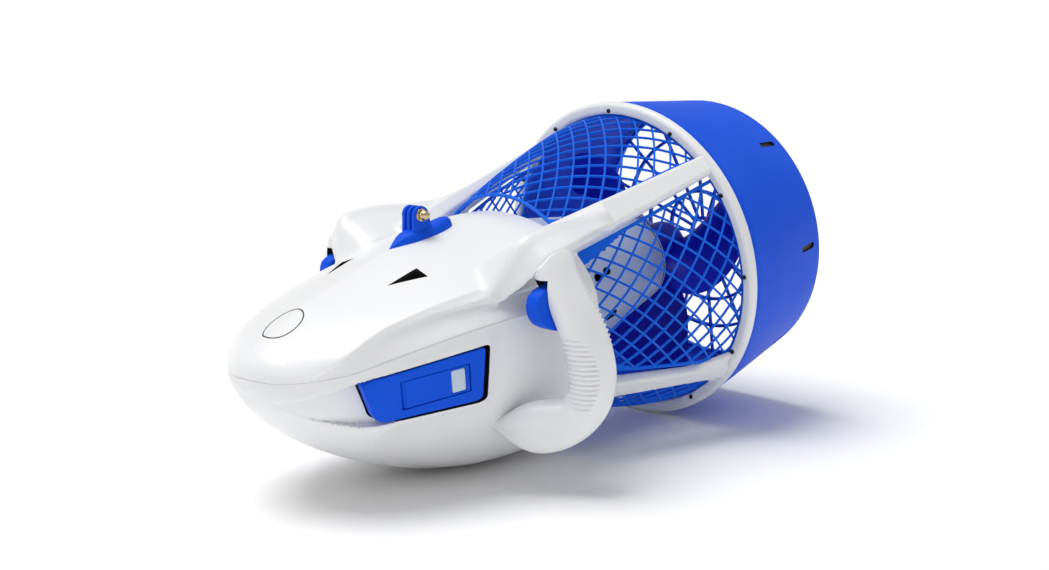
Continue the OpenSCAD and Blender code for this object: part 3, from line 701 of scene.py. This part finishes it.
# Sunken gill before the panel: distance aft, height of its lower and of its upper edge
GILL = np.array([[-86, 0.5, 1.5], [-60, -12.5, 9.5], [-33, -19.5, 18.5],
                 [-24, -20, 19.5], [0, -18, 19]])
GILL_TIP, GILL_DEPTH, GILL_SLOPE = -86, 7.5, 50


def inside_outline(q, outline):
    """Signed distance to an outline in a plane, negative inside."""
    best, sign = np.full(len(q), np.inf), np.ones(len(q))
    for i in range(len(outline)):
        a, b = outline[i], outline[i - 1]
        edge, w = b - a, q - a
        t = np.clip(w @ edge / (edge @ edge), 0, 1)
        best = np.minimum(best, np.sum((w - t[:, None] * edge) ** 2, 1))
        c = np.stack([q[:, 1] >= a[1], q[:, 1] < b[1], edge[0] * w[:, 1] > edge[1] * w[:, 0]])
        sign[np.all(c, 0) | ~np.any(c, 0)] *= -1
    return sign * np.sqrt(best)


def latch_frame(p):
    """Points in the latch panel's own frame: outwards, aft, up."""
    q = np.column_stack([np.abs(p[:, 0]), p[:, 1:]])
    return (q - LATCH_AT) @ LATCH_TURN


def hull_outer(p):
    """Outside of the hull: body, deck, a flat round the side panel and the gill before it."""
    skin = blend_min(hull_skin(p), deck_skin(p), 2.5)
    skin = blend_max(skin, NOSE_Y + 0.5 - p[:, 1], 5.0)
    q = latch_frame(p)
    away = np.maximum(inside_outline(q[:, 1:], PANEL) - 3.5, 0)
    flat = q[:, 0] - 0.9 + np.interp(q[:, 2], [-20, 10], [0.85, 0.6]) * away
    flat = np.maximum(flat, skin - 10 * np.clip(1 - away / 40, 0, 1))
    raised = blend_min(skin, flat, 4.0)
    foot, brow = (np.interp(q[:, 1], GILL[:, 0], GILL[:, k]) for k in (1, 2))
    share = np.clip((q[:, 2] - foot) / np.maximum(brow - foot, 1), 0, 1)
    depth = GILL_DEPTH * share ** 1.5 * np.clip((q[:, 1] - GILL_TIP) / GILL_SLOPE, 0, 1)
    gill = np.max([q[:, 2] - brow, foot - q[:, 2], q[:, 1], GILL_TIP - q[:, 1],
                   -(skin + depth)], 0)
    return blend_max(raised, -gill, 0.6)


def hull_field(p):
    q = np.column_stack([np.abs(p[:, 0]), p[:, 1:]])
    return blend_min(hull_outer(p), shoulder(q), 5.0)


def hull_inside(p):
    shell = blend_max(hull_skin(p) + WALL, NOSE_Y + WALL - p[:, 1], 5.0)
    return np.maximum(shell, hull_outer(p) + LEAST_WALL)


def seam_height(y):
    return np.interp(y, HULL[:, 0], HULL[:, 2])


def latch_prism(outline, low, high, **shape):
    """Plate in the latch frame: outline runs (aft, up), low to high is outwards."""
    points, faces = reaxis(plate(outline, low, high, **shape), (2, 0, 1))
    return points @ LATCH_TURN.T + LATCH_AT, faces


VENT = np.array([[39, -302], [54, -276.5], [40, -275]], float)
VENT_MIDDLE = np.array([44.3, -284.5])
REAR_Y, SEAM = -150.0, 0.25
VOXEL = 1.7

hull_low, hull_high = (-2 * VOXEL, -416, -127), (150, -143, 92)
inside_points, inside_faces = surface(hull_inside, hull_low, hull_high, 4.0)
hull_points, hull_faces = merged([surface(hull_field, hull_low, hull_high, VOXEL),
                                  (inside_points, inside_faces[:, ::-1])])


def hull_part(name, cuts, node):
    shape = cleaned(hull_points, hull_faces, cuts, mirror=True, warp=seam_height)
    return piece(name, shape, "white_plastic", (node,), sharp=38)


rear_cut = ((0, REAR_Y, 0), (0, 1, 0), False)
upper = hull_part("hull_top_shell", [((0, 0, 0), (0, 0, -1), True), rear_cut], "upper_hull")
lower = hull_part("hull_bottom_shell", [((0, 0, -SEAM), (0, 0, 1), True), rear_cut], "lower_hull")

vent_hole = plate(VENT_MIDDLE + (VENT - VENT_MIDDLE) * 1.06, 40, 90, bevel=0.01, corner=0.8)
# The vent holes' walls in the white shell are painted black: painted shade inside the openings
carve(upper, [vent_hole, mirrored(vent_hole)], 38, PAINTED_SHADE_BLACK)
window = latch_prism(OPENING, -14, 9, bevel=0.01, corner=4.0)
# The window's walls in the white hull round each side panel are painted black: painted shade in the
# gap round the panel
carve(lower, [window, mirrored(window)], 38, PAINTED_SHADE_BLACK)


# ---- Seal between the hull halves ----
def seal():
    inset = 0.8
    port = [(row[1] - inset, max(row[0], NOSE_Y + inset), row[2] - SEAM / 2) for row in HULL[::4]]
    path = port[::-1] + [(-x, y, z) for x, y, z in port]
    rings = []
    lift = np.array([0, 0, SEAM / 2 - 0.04])
    for here in np.array(path):
        inwards = np.array([-np.sign(here[0]) * 2.2, 0 if here[1] > -408 else 1.0, 0])
        rings.append([here - lift, here + inwards - lift, here + inwards + lift, here + lift])
    return loft(rings)


piece("hull_seal", seal(), "black_rubber", ("hull_gasket",))


# ---- Strake along the bilge ----
def on_hull(points):
    """Points moved onto the hull's skin along its slope."""
    points = np.asarray(points, float).copy()
    for _ in range(12):
        slope, here = gradient(hull_skin, points)
        points -= slope * (here / np.maximum(np.sum(slope ** 2, 1), 0.05))[:, None]
    return points, gradient(hull_skin, points)[0]


def strake():
    marks = np.array([[70, -372, -34], [76, -358, -43], [83, -344, -50], [89, -327, -56],
                      [94, -309, -60]], float)
    path, out = on_hull([between(marks, u) for u in np.linspace(0, len(marks) - 1, 49)])
    out = unit(out)
    rings = []
    for i, (here, up) in enumerate(zip(path, out)):
        t = i / (len(path) - 1)
        swell = math.sin(math.pi * min(max(t, 0.004), 0.996)) ** 0.7
        side = np.cross(path[min(i + 1, len(path) - 1)] - path[max(i - 1, 0)], up)
        side /= np.linalg.norm(side)
        turn = circle(20)
        rings.append(here + np.outer(np.cos(turn) * 3.4 * swell, side)
                     + np.outer(np.sin(turn) * 1.5 * swell - 0.1, up))
    return loft([r[::-1] for r in rings])


piece("hull_strakes", both(strake()), "white_plastic")


# ---- Plain ring on the nose ----
def badge():
    turn, radius, middle_y = circle(96), 15.5, -372
    points = np.column_stack([radius * np.cos(turn), middle_y + radius * np.sin(turn),
                              np.full(96, 43.0)])
    for _ in range(12):
        slope, here = gradient(hull_outer, points)
        points[:, 2] -= here / slope[:, 2]
    out = unit(gradient(hull_outer, points)[0])
    return tube(points, 1.1, 0.5, out, sides=8, closed=True, power=3.0)


piece("nose_ring", badge(), "black_plastic")

# ---- Vents on the deck ----
grille = [plate(VENT_MIDDLE + (VENT - VENT_MIDDLE) * 0.98, 50, 54, bevel=0.5, corner=1.5)]
for k in range(5):
    y = -299 + 5 * k
    slat = [(38.5 + 0.4 * k, y, 55.2), (42 + 2.6 * k, y + 0.6 * k, 55.2)]
    grille.append(tube(slat, 1.4, 3.2, sides=6))
piece("deck_vents", both(merged(grille)), "black_plastic", ("top_vents",))

# ---- Camera mount ----
# y, half width, foot and top of the leaf the tab stands on
LEAF = np.array([
    [-269, 0.4, 71, 75.6], [-262, 4.4, 72, 80.6], [-254, 8.2, 73, 85.2], [-246, 10.8, 73.5, 87],
    [-236, 11.4, 74, 87.6], [-226, 11.0, 74.5, 87.6], [-217, 9.6, 75, 89.2], [-210, 7.6, 75, 90],
    [-206, 5.4, 75, 88.6], [-204, 2.6, 75, 84]])
PIVOT_Y, PIVOT_Z = -238.0, 98.0
PRONG_X, PRONG_HALF, PRONG_BORE = (-6.2, 0, 6.2), 1.6, 2.6
NUT_X = 7.85


def camera_mount():
    rings = []
    for u in np.linspace(0, len(LEAF) - 1, 61):
        y, half, low, high = between(LEAF, u)
        rings.append([(half * abs(math.cos(a)) ** 0.75 * np.sign(math.cos(a)), y,
                       low + (high - low) * math.sin(a) ** 0.5)
                      for a in np.linspace(0, math.pi, 33)][::-1])
    parts = [loft(rings)]
    turn = np.linspace(math.radians(-6), math.radians(186), 26)
    tab = [(PIVOT_Y + 7.6 * math.cos(a), PIVOT_Z + 7.3 * math.sin(a)) for a in turn]
    tab += [(PIVOT_Y - 9.4, 86), (PIVOT_Y - 10.4, 82), (PIVOT_Y + 10.4, 82), (PIVOT_Y + 9.4, 86)]
    parts += [slab(tab, x - PRONG_HALF, x + PRONG_HALF, bevel=0.5, corner=0.3) for x in PRONG_X]
    return merged(parts)


mount = piece("camera_mount_body", camera_mount(), "blue_plastic", ("camera_mount",), sharp=40)
carve(mount, [reaxis(drum(PRONG_BORE, -20, 20, 48), (1, 0, 2), (0, PIVOT_Y, PIVOT_Z))], 40)


def hexagon(radius, start):
    turn = np.radians(np.arange(start, start + 360, 60))
    return [(radius * math.cos(a), radius * math.sin(a)) for a in turn]


def acorn_nut():
    body = plate(hexagon(4.6, 30), 0, 4, bevel=0.45, corner=0.25)
    dome = spun([(0, 3.6), (3.9, 3.6), (3.85, 5.0), (3.4, 6.4), (2.4, 7.5), (1.2, 7.95),
                 (0, 8.05)], 48)
    washer = spun([(0, 0), (5.0, 0), (5.2, 0.3), (5.0, 0.6), (0, 0.6)], 48)
    return merged([reaxis(body, (2, 0, 1), (NUT_X, PIVOT_Y, PIVOT_Z)),
                   reaxis(dome, (1, 0, 2), (NUT_X, PIVOT_Y, PIVOT_Z)),
                   reaxis(washer, (1, 0, 2), (NUT_X - 0.1, PIVOT_Y, PIVOT_Z))])


piece("camera_mount_cap_nut", acorn_nut(), "brass", ("camera_mount_nut",), sharp=30)

# ---- Side latches, in their own frame: outwards, aft, up ----
LEVER_LEN, LEVER_HALF = 52.0, 10.8
KNUCKLE_R, KNUCKLE_X = 2.5, -2.4


def latch(side, flip):
    panel = piece(f"latch_panel_{side}",
                  flip(latch_prism(PANEL, -10.5, 0.9, bevel=1.0, corner=4.0)),
                  "blue_plastic", (f"side_panel_{side}",))
    pocket = latch_prism(rectangle(-3.4, LEVER_LEN + 0.8, -11.4, 11.4), -5.4, 5,
                         bevel=0.01, corner=1.2)
    carve(panel, [flip(pocket)], 32)
    lever = latch_prism(rectangle(0, LEVER_LEN, -LEVER_HALF, LEVER_HALF), -3.4, 0.75,
                        bevel=0.7, corner=1.4)
    knuckle = [(KNUCKLE_R * math.cos(a), KNUCKLE_R * math.sin(a)) for a in circle(32)]
    barrel, faces = plate(knuckle, -LEVER_HALF, LEVER_HALF, bevel=0.3, corner=0.1)
    barrel = (barrel + [KNUCKLE_X, 0, 0]) @ LATCH_TURN.T + LATCH_AT
    arm = piece(f"latch_lever_{side}_body", flip(merged([lever, (barrel, faces)])),
                "blue_plastic", (f"latch_lever_{side}",), f"latch_{side}")
    seat = latch_prism(rectangle(36.7, 48.7, -9.3, 9.3), -8, 5, bevel=0.01, corner=1.2)
    carve(arm, [flip(seat)], 32, crossing=True)
    button = latch_prism(rectangle(37, 48.4, -9, 9), -3, 0.9, bevel=0.8, corner=1.5, crown=0.35)
    piece(f"latch_button_{side}", flip(button), "pale_plastic", (f"release_button_{side}",),
          f"button_{side}")


for side, flip in SIDES.items():
    latch(side, flip)

# ---- Ring, band and guard behind the propeller ----
BORE_R, RING_LEN, OUTLET_R, DUCT_LEN, SCREW_R = 141.0, 10.0, 134.0, 136.0, 144.3
GUARD_Y, SLOT_Y = 126.5, 111.5

rim = lathe([[BORE_R, 2.2], [BORE_R + 2, 0.2], [149, 0.2], [151.9, 2.6], [151.9, RING_LEN - 1.2],
             [150.6, RING_LEN - 0.1], [BORE_R, RING_LEN - 0.1]], 240, soften=1.1)
piece("ring_front", rim, "white_plastic", ("guard_ring",), sharp=30)


def screw(radius, head, head_y, shank_y):
    """Round-headed screw at a radius, its head facing the nose."""
    top = spun([(0, head_y + 1.0), (1.2, head_y + 1.0), (1.25, head_y + 0.15),
                (head * 0.72, head_y), (head, head_y + 0.9), (head, head_y + 1.8),
                (1.45, head_y + 1.8), (1.45, shank_y), (0, shank_y)], 24)
    return moved(top, Matrix.Translation((radius, 0, 0)))


piece("ring_front_screws", around(screw(SCREW_R, 2.1, -1.2, 15.0), np.arange(12) * 30.0),
      "black_steel", ("ring_screws",))

BAND_R = RING_R - 1.5
band = lathe([[142, 10.1], [BAND_R - 0.2, 10.1], [BAND_R - 0.1, 16], [OUTLET_R + 0.4, 133],
              [OUTLET_R - 0.1, DUCT_LEN], [OUTLET_R - 3, DUCT_LEN], [BAND_R - 4, 24], [142, 19]],
             288, soften=1.2)
duct = piece("duct_band_body", band, "blue_plastic", ("duct_band",), sharp=30)


def on_band(y):
    return BAND_R + (OUTLET_R - BAND_R) * (y - RING_LEN) / (DUCT_LEN - RING_LEN)


def stadium(length, width, steps=9):
    turn = np.linspace(-math.pi / 2, math.pi / 2, steps)
    r = width / 2
    end = [(length / 2 - r + r * math.cos(a), r * math.sin(a)) for a in turn]
    return np.array(end + [(-x, -y) for x, y in end])


def radial(shape, y):
    """Plate drawn in (aft, across), its height turned to point outwards at port."""
    return reaxis(shape, (2, 0, 1), (0, y, 0))


# Blind slots whose floor follows the band's slope
slot_points, slot_faces = plate(stadium(24.6, 5.6), on_band(SLOT_Y) - 2.2, 160,
                                bevel=0.01, corner=0.1)
slot_points[:, 2] += (on_band(1) - on_band(0)) * slot_points[:, 0]
slot_hole = radial((slot_points, slot_faces), SLOT_Y)
# The slots' walls and floors in the blue band are painted black: painted shade inside the slots
carve(duct, [around(slot_hole, np.arange(8) * 45.0)], 30, PAINTED_SHADE_BLACK)


def rear_guard():
    parts = []
    for r, width in ((14.4, 3.4), (42.4, 3.0), (71.4, 3.0), (100.4, 3.0), (129.0, 3.6)):
        section = rectangle(r - width / 2, r + width / 2, GUARD_Y - 2.4, GUARD_Y + 2.4)
        parts.append(lathe(section, 160, soften=1.0))
    line = [(x, GUARD_Y + 0.4 * math.sin(x / 40), 0) for x in np.linspace(14, 129.5, 24)]
    spoke = tube(line, 2.6, 3.8, out=np.tile([0.0, 1, 0], (24, 1)), sides=12, power=3.0)
    parts.append(around(spoke, np.arange(16) * 22.5))
    return merged(parts)


piece("rear_guard_grille", rear_guard(), "light_blue_plastic", ("rear_guard",))

# ---- Cage round the propeller ----
CAGE = fine(np.array([[-148, 96], [-110, 110.5], [-60, 126.5], [-20, 137], [8, 140.7]]), 157, 4.0)
CAGE_FRONT, CAGE_REAR = -148.0, 8.0


def on_cage(angle, y, depth=1.5):
    r = np.interp(y, CAGE[:, 0], CAGE[:, 1]) - depth
    a = math.radians(angle)
    return np.array([r * math.cos(a), y, r * math.sin(a)]), np.array([math.cos(a), 0, math.sin(a)])


def cage_bar(ends, width, height, count):
    (a, y), (b, z) = ends
    path, out = zip(*[on_cage(a + (b - a) * t, y + (z - y) * t) for t in np.linspace(0, 1, count)])
    return tube(path, width, height, out, sides=8, power=3.0)


def cage_panel(front, rear, corner):
    """Lattice panel with a slim frame between two angles, given at its front and its rear edge.

    corner is how far the solid gussets reach back from its front corners.
    """
    def limits(y):
        t = (y - CAGE_FRONT) / (CAGE_REAR - CAGE_FRONT)
        return [front[i] + (rear[i] - front[i]) * t for i in (0, 1)]

    middle, slope, pitch = sum(front) / 2, 0.46, 9.0
    ys = np.linspace(CAGE_FRONT + 2, CAGE_REAR - 2, 313)
    low, high = limits(ys)
    parts = []
    for sign in (1, -1):
        for k in range(-20, 21):
            angle = middle + k * pitch + sign * slope * (ys + 70)
            inside = np.flatnonzero((angle > low + 0.8) & (angle < high - 0.8))
            if len(inside) > 24:
                ends = [(angle[i], ys[i]) for i in (inside[0], inside[-1])]
                parts.append(cage_bar(ends, 1.8, 2.2, max(4, len(inside) // 14)))
    first, last = CAGE_FRONT + 1.5, CAGE_REAR - 1.5
    for side in (0, 1):
        inwards = 1.0 - 2 * side
        ends = [(limits(y)[side] + inwards, y) for y in (first, last)]
        parts.append(cage_bar(ends, 3.2, 2.8, 24))
        for row in range(10):
            span = (first, first + corner * (1 - row / 10))
            ends = [(limits(y)[side] + inwards * (1 + 0.65 * row), y) for y in span]
            parts.append(cage_bar(ends, 2.4, 2.2, 8))
    for y, width in ((first, 3.2), (last - 1, 4.2)):
        a, b = limits(y)
        parts.append(cage_bar([(a + 0.8, y), (b - 0.8, y)], width, 2.8, 28))
    return merged(parts)


for name, front, rear, corner in (
        ("top", (46.6, 133.4), (46, 134), 16), ("port", (-33.2, 31.4), (-35.8, 38.2), 52),
        ("starboard", (148.6, 213.2), (141.8, 215.8), 52),
        ("bottom", (-135.2, -44.8), (-137.8, -42.2), 16)):
    piece(f"cage_grille_{name}", cage_panel(front, rear, corner), "light_blue_plastic",
          (f"cage_{name}",))


# ---- Struts, cut off at the hull's rear and at the ring ----
def lower_strut(p):
    root, end = polar(105, STRUT_LOWER, -156), polar(STRUT_END_R, STRUT_LOWER, 6)
    bar = beam(p, root, end, (12, 21), (8, 16), polar(1, STRUT_LOWER, 0), 2.8)
    corners = [polar(r, STRUT_LOWER + a, y) for r, a, y in ((132, 1, -44), (143, -6, -1),
                                                            (143, 7, -1))]
    return blend_min(bar, web(p, corners, 3.0), 4)


for name, field, low, high in (("upper", shoulder, (58, -160, 40), (128, 3, 122)),
                               ("lower", lower_strut, (70, -160, -112), (128, 9, -56))):
    shape = cleaned(*surface(field, low, high, VOXEL),
                    [((0, REAR_Y + 0.15, 0), (0, -1, 0), False), ((0, -0.1, 0), (0, 1, 0), False)])
    for side, flip in SIDES.items():
        piece(f"strut_{name}_{side}_arm", flip(shape), "white_plastic",
              (f"strut_{name}_{side}",), sharp=38)

# ---- Grips ----
# Centreline from the wing to the belly: x, y, z, half depth, half width
GRIP = np.array([
    [114, -213, 88, 15, 8], [120, -213, 77, 17.8, 10], [127.5, -214.5, 66, 18.6, 12],
    [133, -215.5, 53, 18.2, 12.8], [139.5, -215.5, 40, 18, 12.8], [147, -213.5, 24, 18.8, 13.2],
    [152, -211, 4, 20.2, 13.8], [153.5, -208.5, -20, 20.6, 14], [150, -210, -40, 20.2, 15.2],
    [141, -217, -55, 18.5, 17.5], [128, -230, -60.5, 16.5, 20.5], [115, -241, -61, 14.5, 20.5],
    [102, -247, -60.5, 12, 14.5], [93, -250, -60, 8.5, 8], [84, -253, -60, 5, 3]], float)
GRIP_ROWS, GRIP_SIDES, GRIP_POWER, GRIP_FOOT_X = 560, 120, 2 / 2.25, 89.0
RIB_PITCH, RIB_DEPTH, RIB_Z = 3.9, 1.5, -17
TOOTH_PITCH, TOOTH_HEIGHT, TOOTH_Z = 3.9, 1.5, 26
# Direction in which the edge with the teeth lies, and the ribs' middle round the section
OUTER_REAR = np.array([0.744, 0.668, 0])
RIB_AT = 188


def smooth_bump(t):
    t = np.clip(1 - np.abs(t), 0, 1)
    return t * t * (3 - 2 * t)


def grip():
    weights = bell(12.0, 30)
    line = np.array([between(GRIP, u) for u in np.linspace(0, len(GRIP) - 1, GRIP_ROWS)])
    line = np.column_stack([evened(column, weights) for column in line.T])
    middle, half_depth, half_width = line[:, :3], line[:, 3], line[:, 4]
    steps = np.linalg.norm(np.diff(middle, axis=0), axis=1)
    run = np.concatenate([[0], np.cumsum(steps)])
    rib_middle, tooth_middle = (run[np.argmin(np.abs(line[:300, 2] - z))] for z in (RIB_Z, TOOTH_Z))
    ahead = unit(np.gradient(middle, axis=0))
    side = unit(np.cross(ahead, [0, 1, 0]))
    fore = np.cross(side, ahead)
    turn = circle(GRIP_SIDES)
    c, s = (np.sign(v) * np.abs(v) ** GRIP_POWER for v in (np.cos(turn), np.sin(turn)))

    def section(i, lift):
        return (middle[i] + np.outer((half_depth[i] + lift) * c, fore[i])
                - np.outer((half_width[i] + lift) * s, side[i]))

    skins = [section(i, 0) for i in range(GRIP_ROWS)]
    edge = np.array([np.argmax(skin @ OUTER_REAR) * 360 / GRIP_SIDES for skin in skins])
    edge = np.where(edge < 180, edge + 360, edge)
    edge = np.convolve(np.pad(edge, 30, "edge"), weights, "valid")
    degrees, rings = np.degrees(turn), []
    across = (degrees - RIB_AT) / 68
    for i, skin in enumerate(skins):
        bent = skin[:, 2] + 4.0 * (1 - np.cos(np.radians(degrees - RIB_AT)))
        ribbed = np.clip(5 * (1 - (across ** 2 + ((run[i] - rib_middle) / 35) ** 2)), 0, 1)
        lift = RIB_DEPTH * (np.abs(np.sin(math.pi * bent / RIB_PITCH)) ** 0.8 - 0.8) * ribbed
        from_edge = (degrees - edge[i] + 180) % 360 - 180
        away = np.abs(run[i] - tooth_middle)
        tooth = smooth_bump(from_edge / 13) * np.clip(3 * (1 - away / 36), 0, 1)
        wave = np.maximum(0, np.cos(2 * math.pi * run[i] / TOOTH_PITCH)) ** 0.6
        groove = smooth_bump(from_edge / 20) * np.clip(3 * (1 - away / 38), 0, 1)
        rings.append(section(i, lift + TOOTH_HEIGHT * tooth * wave - 0.4 * groove)[::-1])
    return loft(rings)


def grip_top(y):
    """Height inside the wing at which the grip ends."""
    return np.interp(y, WING[:, 0], WING[:, 2]) + 1.5


# ---- Triggers: outline in (y, z), pin, and how far from the middle they lie ----
TRIGGER = np.array([
    [-242, 46], [-235, 49.5], [-226, 51], [-216, 54.5], [-209.5, 49], [-210.5, 41], [-214, 30],
    [-216.5, 16], [-219, 12.6], [-231, 17.5], [-240.5, 23.5], [-244.5, 31], [-245, 39]], float)
TRIGGER_PIN = (0, -216.0, 49.0)
TRIGGER_LOW, TRIGGER_HIGH = 124.0, 138.0

grip_shape = cleaned(*grip(), [((0, 0, 0), (0, 0, 1), True),
                               ((GRIP_FOOT_X, 0, 0), (-1, 0, 0), False)], warp=grip_top)
trigger_pocket = slab(rectangle(-270, -205.5, 6.5, 56.5), TRIGGER_LOW - 0.7, TRIGGER_HIGH + 0.7,
                      bevel=0.01, corner=3.0)
pin_boss = slab(rectangle(-223.6, -201, 41, 61), 119, 134, bevel=2.4, corner=4.0)
blade_shape = slab(TRIGGER, TRIGGER_LOW + 0.1, TRIGGER_HIGH - 0.1, bevel=2.6, corner=4.0, steps=5)
pin_hole = reaxis(drum(2.1, 110, 150, 32), (1, 0, 2), TRIGGER_PIN)
spring_gap = reaxis(drum(6, 128, 134, 40), (1, 0, 2), TRIGGER_PIN)

for side, flip in SIDES.items():
    body = piece(f"grip_{side}", flip(grip_shape), "white_plastic", (f"handle_{side}",), sharp=32)
    combine(body, flip(pin_boss), "UNION")
    # The trigger pocket's walls in the white grip are painted black: painted shade in the gap round
    # the trigger
    carve(body, [flip(trigger_pocket)], 32, PAINTED_SHADE_BLACK)
    lever = piece(f"trigger_{side}_blade", flip(blade_shape), "blue_plastic",
                  (f"trigger_{side}",), f"trigger_{side}", 40)
    carve(lever, [flip(pin_hole), flip(spring_gap)], 40)

# ---- Motor pod ----
POD = fine(np.array([[-150, 72], [-120, 67.8], [-90, 62.6], [-60, 57], [-30, 51], [-8, 46.2],
                     [11.9, 42]]), 60, 3.0)
POD_WALL = 3
# Oblong pits: lean from a sixth of the round in degrees, y, length
PITS = ((15, -99, 11), (17, -84, 11), (-23, -80, 17))

pod = lathe([[r, y] for y, r in POD] + [[r - POD_WALL, y] for y, r in POD[::-1]])
pod_body = piece("motor_pod_shell", pod, "pale_plastic", ("motor_pod",), sharp=30)
pits = [around(radial(plate(stadium(length, 7.0), 50, 90, bevel=0.01, corner=0.1), y),
               [angle + lean])
        for angle in np.arange(6) * 60.0 for lean, y, length in PITS]
# The pits' walls and floors in the pale pod are painted black: painted shade inside the pits
carve(pod_body, [merged(pits)], 30, PAINTED_SHADE_BLACK)

cap = lathe([[5.9, 2.2], [38.6, 2.2], [38.6, 12.1], [41.9, 12.1], [41.9, 14.6], [39.6, 16.9],
             [13, 16.9], [12, 15.4], [5.9, 15.4]], 160, soften=0.8)
rib = plate(rectangle(14, 37.5, 12.4, 17.6), -1.1, 1.1, bevel=0.4, corner=1.0)
cap_body = piece("motor_pod_cap", merged([cap, around(rib, np.arange(8) * 45.0 + 22.5)]),
                 "pale_plastic", ("pod_end_cap",), sharp=30)
cap_screw = moved(drum(1.55, 0, 20, 24), Matrix.Translation((30, 0, 0)))
carve(cap_body, [drum(13.02, 0, 9.0, 96), drum(11.02, 8, 14.0, 96),
                 around(cap_screw, (45, 135, 225, 315))], 30)
rim_seal = tube([polar(42.0, a, 12.0) for a in np.linspace(0, 360, 120, endpoint=False)], 0.9,
                out=np.tile([0.0, 1, 0], (120, 1)), closed=True)
piece("motor_pod_rim_seal", rim_seal, "black_rubber")

# ---- Propeller ----
TIP_R, BLADE_ROOT_R, BLADE_Y, HUB_R, SHAFT_R = 127.0, 20.0, 49.0, 25.0, 5.05
# Share of the blade's length at which its tip starts to round off
TIP_START = 0.93


def blade():
    rings = []
    for f in np.concatenate([np.linspace(0, 0.94, 30), 1 - 0.06 * np.linspace(1, 0, 9)[1:] ** 2]):
        r = BLADE_ROOT_R + (TIP_R - BLADE_ROOT_R) * f
        edge = max(0.0, (f - TIP_START) / (1 - TIP_START))
        rounding = math.sqrt(max(0.0, 1 - edge ** 2))
        chord = (40 + 64 * math.sin(math.radians(150 * f + 8))) * (0.80 + 0.20 * rounding)
        thick = (7 - 4.4 * f) * (0.35 + 0.65 * rounding)
        tilt = math.atan(34 / r * 1.6) + math.radians(4)
        sweep = math.radians(26 * f * f)
        ring = []
        for a in circle(48):
            u, v = chord / 2 * math.cos(a), thick / 2 * math.sin(a) * (1 + 0.25 * math.cos(a))
            turn = sweep + (u * math.cos(tilt) - v * math.sin(tilt)) / r
            lift = u * math.sin(tilt) + v * math.cos(tilt)
            ring.append((r * math.cos(turn), BLADE_Y + lift * 0.9, r * math.sin(turn)))
        rings.append(ring[::-1])
    return loft(rings)


hub = lathe([[SHAFT_R, 20.3], [HUB_R - 4, 20.3], [HUB_R, 24], [HUB_R, 64], [HUB_R - 2.5, 69.9],
             [SHAFT_R, 69.9]], 96, soften=2.2)
blades = [moved(blade(), Matrix.Rotation(math.radians(120 * k), 4, "Y")) for k in range(3)]
piece("propeller_blades", merged([hub] + blades), "indigo_plastic", ("propeller",),
      "propeller", 40)

collar = lathe([[SHAFT_R, 77.0], [7.3, 77.0], [7.3, 80.2], [6.4, 81.1], [SHAFT_R, 81.1]], 64,
               soften=0.5)
lock_nut = reaxis(plate(hexagon(8.9, 0), 70.3, 77.2, bevel=0.7, corner=0.4), (0, 2, 1))
nut = piece("propeller_lock_nut", merged([lock_nut, collar]), "steel", ("propeller_nut",),
            "propeller", 30)
carve(nut, [drum(5.04, 60, 90, 64)], 30)


# ---- Floor and light ----
FLOOR = 30


def stage_floor():
    mesh = bpy.data.meshes.new("floor")
    corners = rectangle(-FLOOR, FLOOR, -FLOOR, FLOOR)
    mesh.from_pydata([(x, y, 0) for x, y in corners], [], [(0, 1, 2, 3)])
    material, nodes, links, shader = graph("floor")
    tinted(nodes, links, shader, (0.955, 0.955, 0.955, 1), (0.97, 0.97, 0.97, 1),
           noise(nodes, links, 0.6, 2.0))
    shader.inputs["Roughness"].default_value = 0.8
    shader.inputs["Specular IOR Level"].default_value = 0.0
    mesh.materials.append(material)
    floor = bpy.data.objects.new("floor", mesh)
    scene.collection.objects.link(floor)


def add_light(name, kind, place, target, **settings):
    data = bpy.data.lights.new(name, kind)
    for key, value in settings.items():
        setattr(data, key, value)
    light = bpy.data.objects.new(name, data)
    light.location = place
    light.rotation_mode = "QUATERNION"
    light.rotation_quaternion = (Vector(place) - Vector(target)).to_track_quat("Z", "Y")
    scene.collection.objects.link(light)


stage_floor()
add_light("overhead", "SUN", (-0.22, -0.22, 1.0), (0, 0, 0), angle=math.radians(38), energy=2.15)
add_light("back", "AREA", (0.6, 1.9, 1.5), (0, 0, 0.15), shape="DISK", size=1.2, energy=1.5)
# White sky with a brighter low backdrop behind the object
world = bpy.data.worlds.new("studio")
world.use_nodes = True
sky, sky_links = world.node_tree.nodes, world.node_tree.links
where = sky.new("ShaderNodeTexCoord")
split = sky.new("ShaderNodeSeparateXYZ")
sky["Background"].inputs["Color"].default_value = (1, 1, 1, 1)
sky_links.new(where.outputs["Generated"], split.inputs["Vector"])
toward = sky.new("ShaderNodeVectorMath")
toward.operation = "DOT_PRODUCT"
toward.inputs[1].default_value = (-math.sin(AZIMUTH), math.cos(AZIMUTH), 0)
sky_links.new(where.outputs["Generated"], toward.inputs[0])
backdrop = spread(sky, sky_links, toward.outputs["Value"], 0.10, 0.60, 0.45, 0.85)
band_height = spread(sky, sky_links, split.outputs["Z"], 1.0, 0.0, 0.085, 0.20)
glow = sky.new("ShaderNodeMath")
glow.operation = "MULTIPLY_ADD"
sky_links.new(backdrop, glow.inputs[0])
sky_links.new(band_height, glow.inputs[1])
glow.inputs[2].default_value = 0.42
sky_links.new(glow.outputs["Value"], sky["Background"].inputs["Strength"])
scene.world = world
scene.view_settings.view_transform = "Standard"

# ---- CAD nodes that stay take their finish from the record's slots ----
for subpart in frame["record"]["subparts"]:
    node_mesh = frame["nodes"][subpart["node"]].data
    node_mesh.materials.clear()
    node_mesh.materials.append(FINISHES[subpart["material_slot"]])
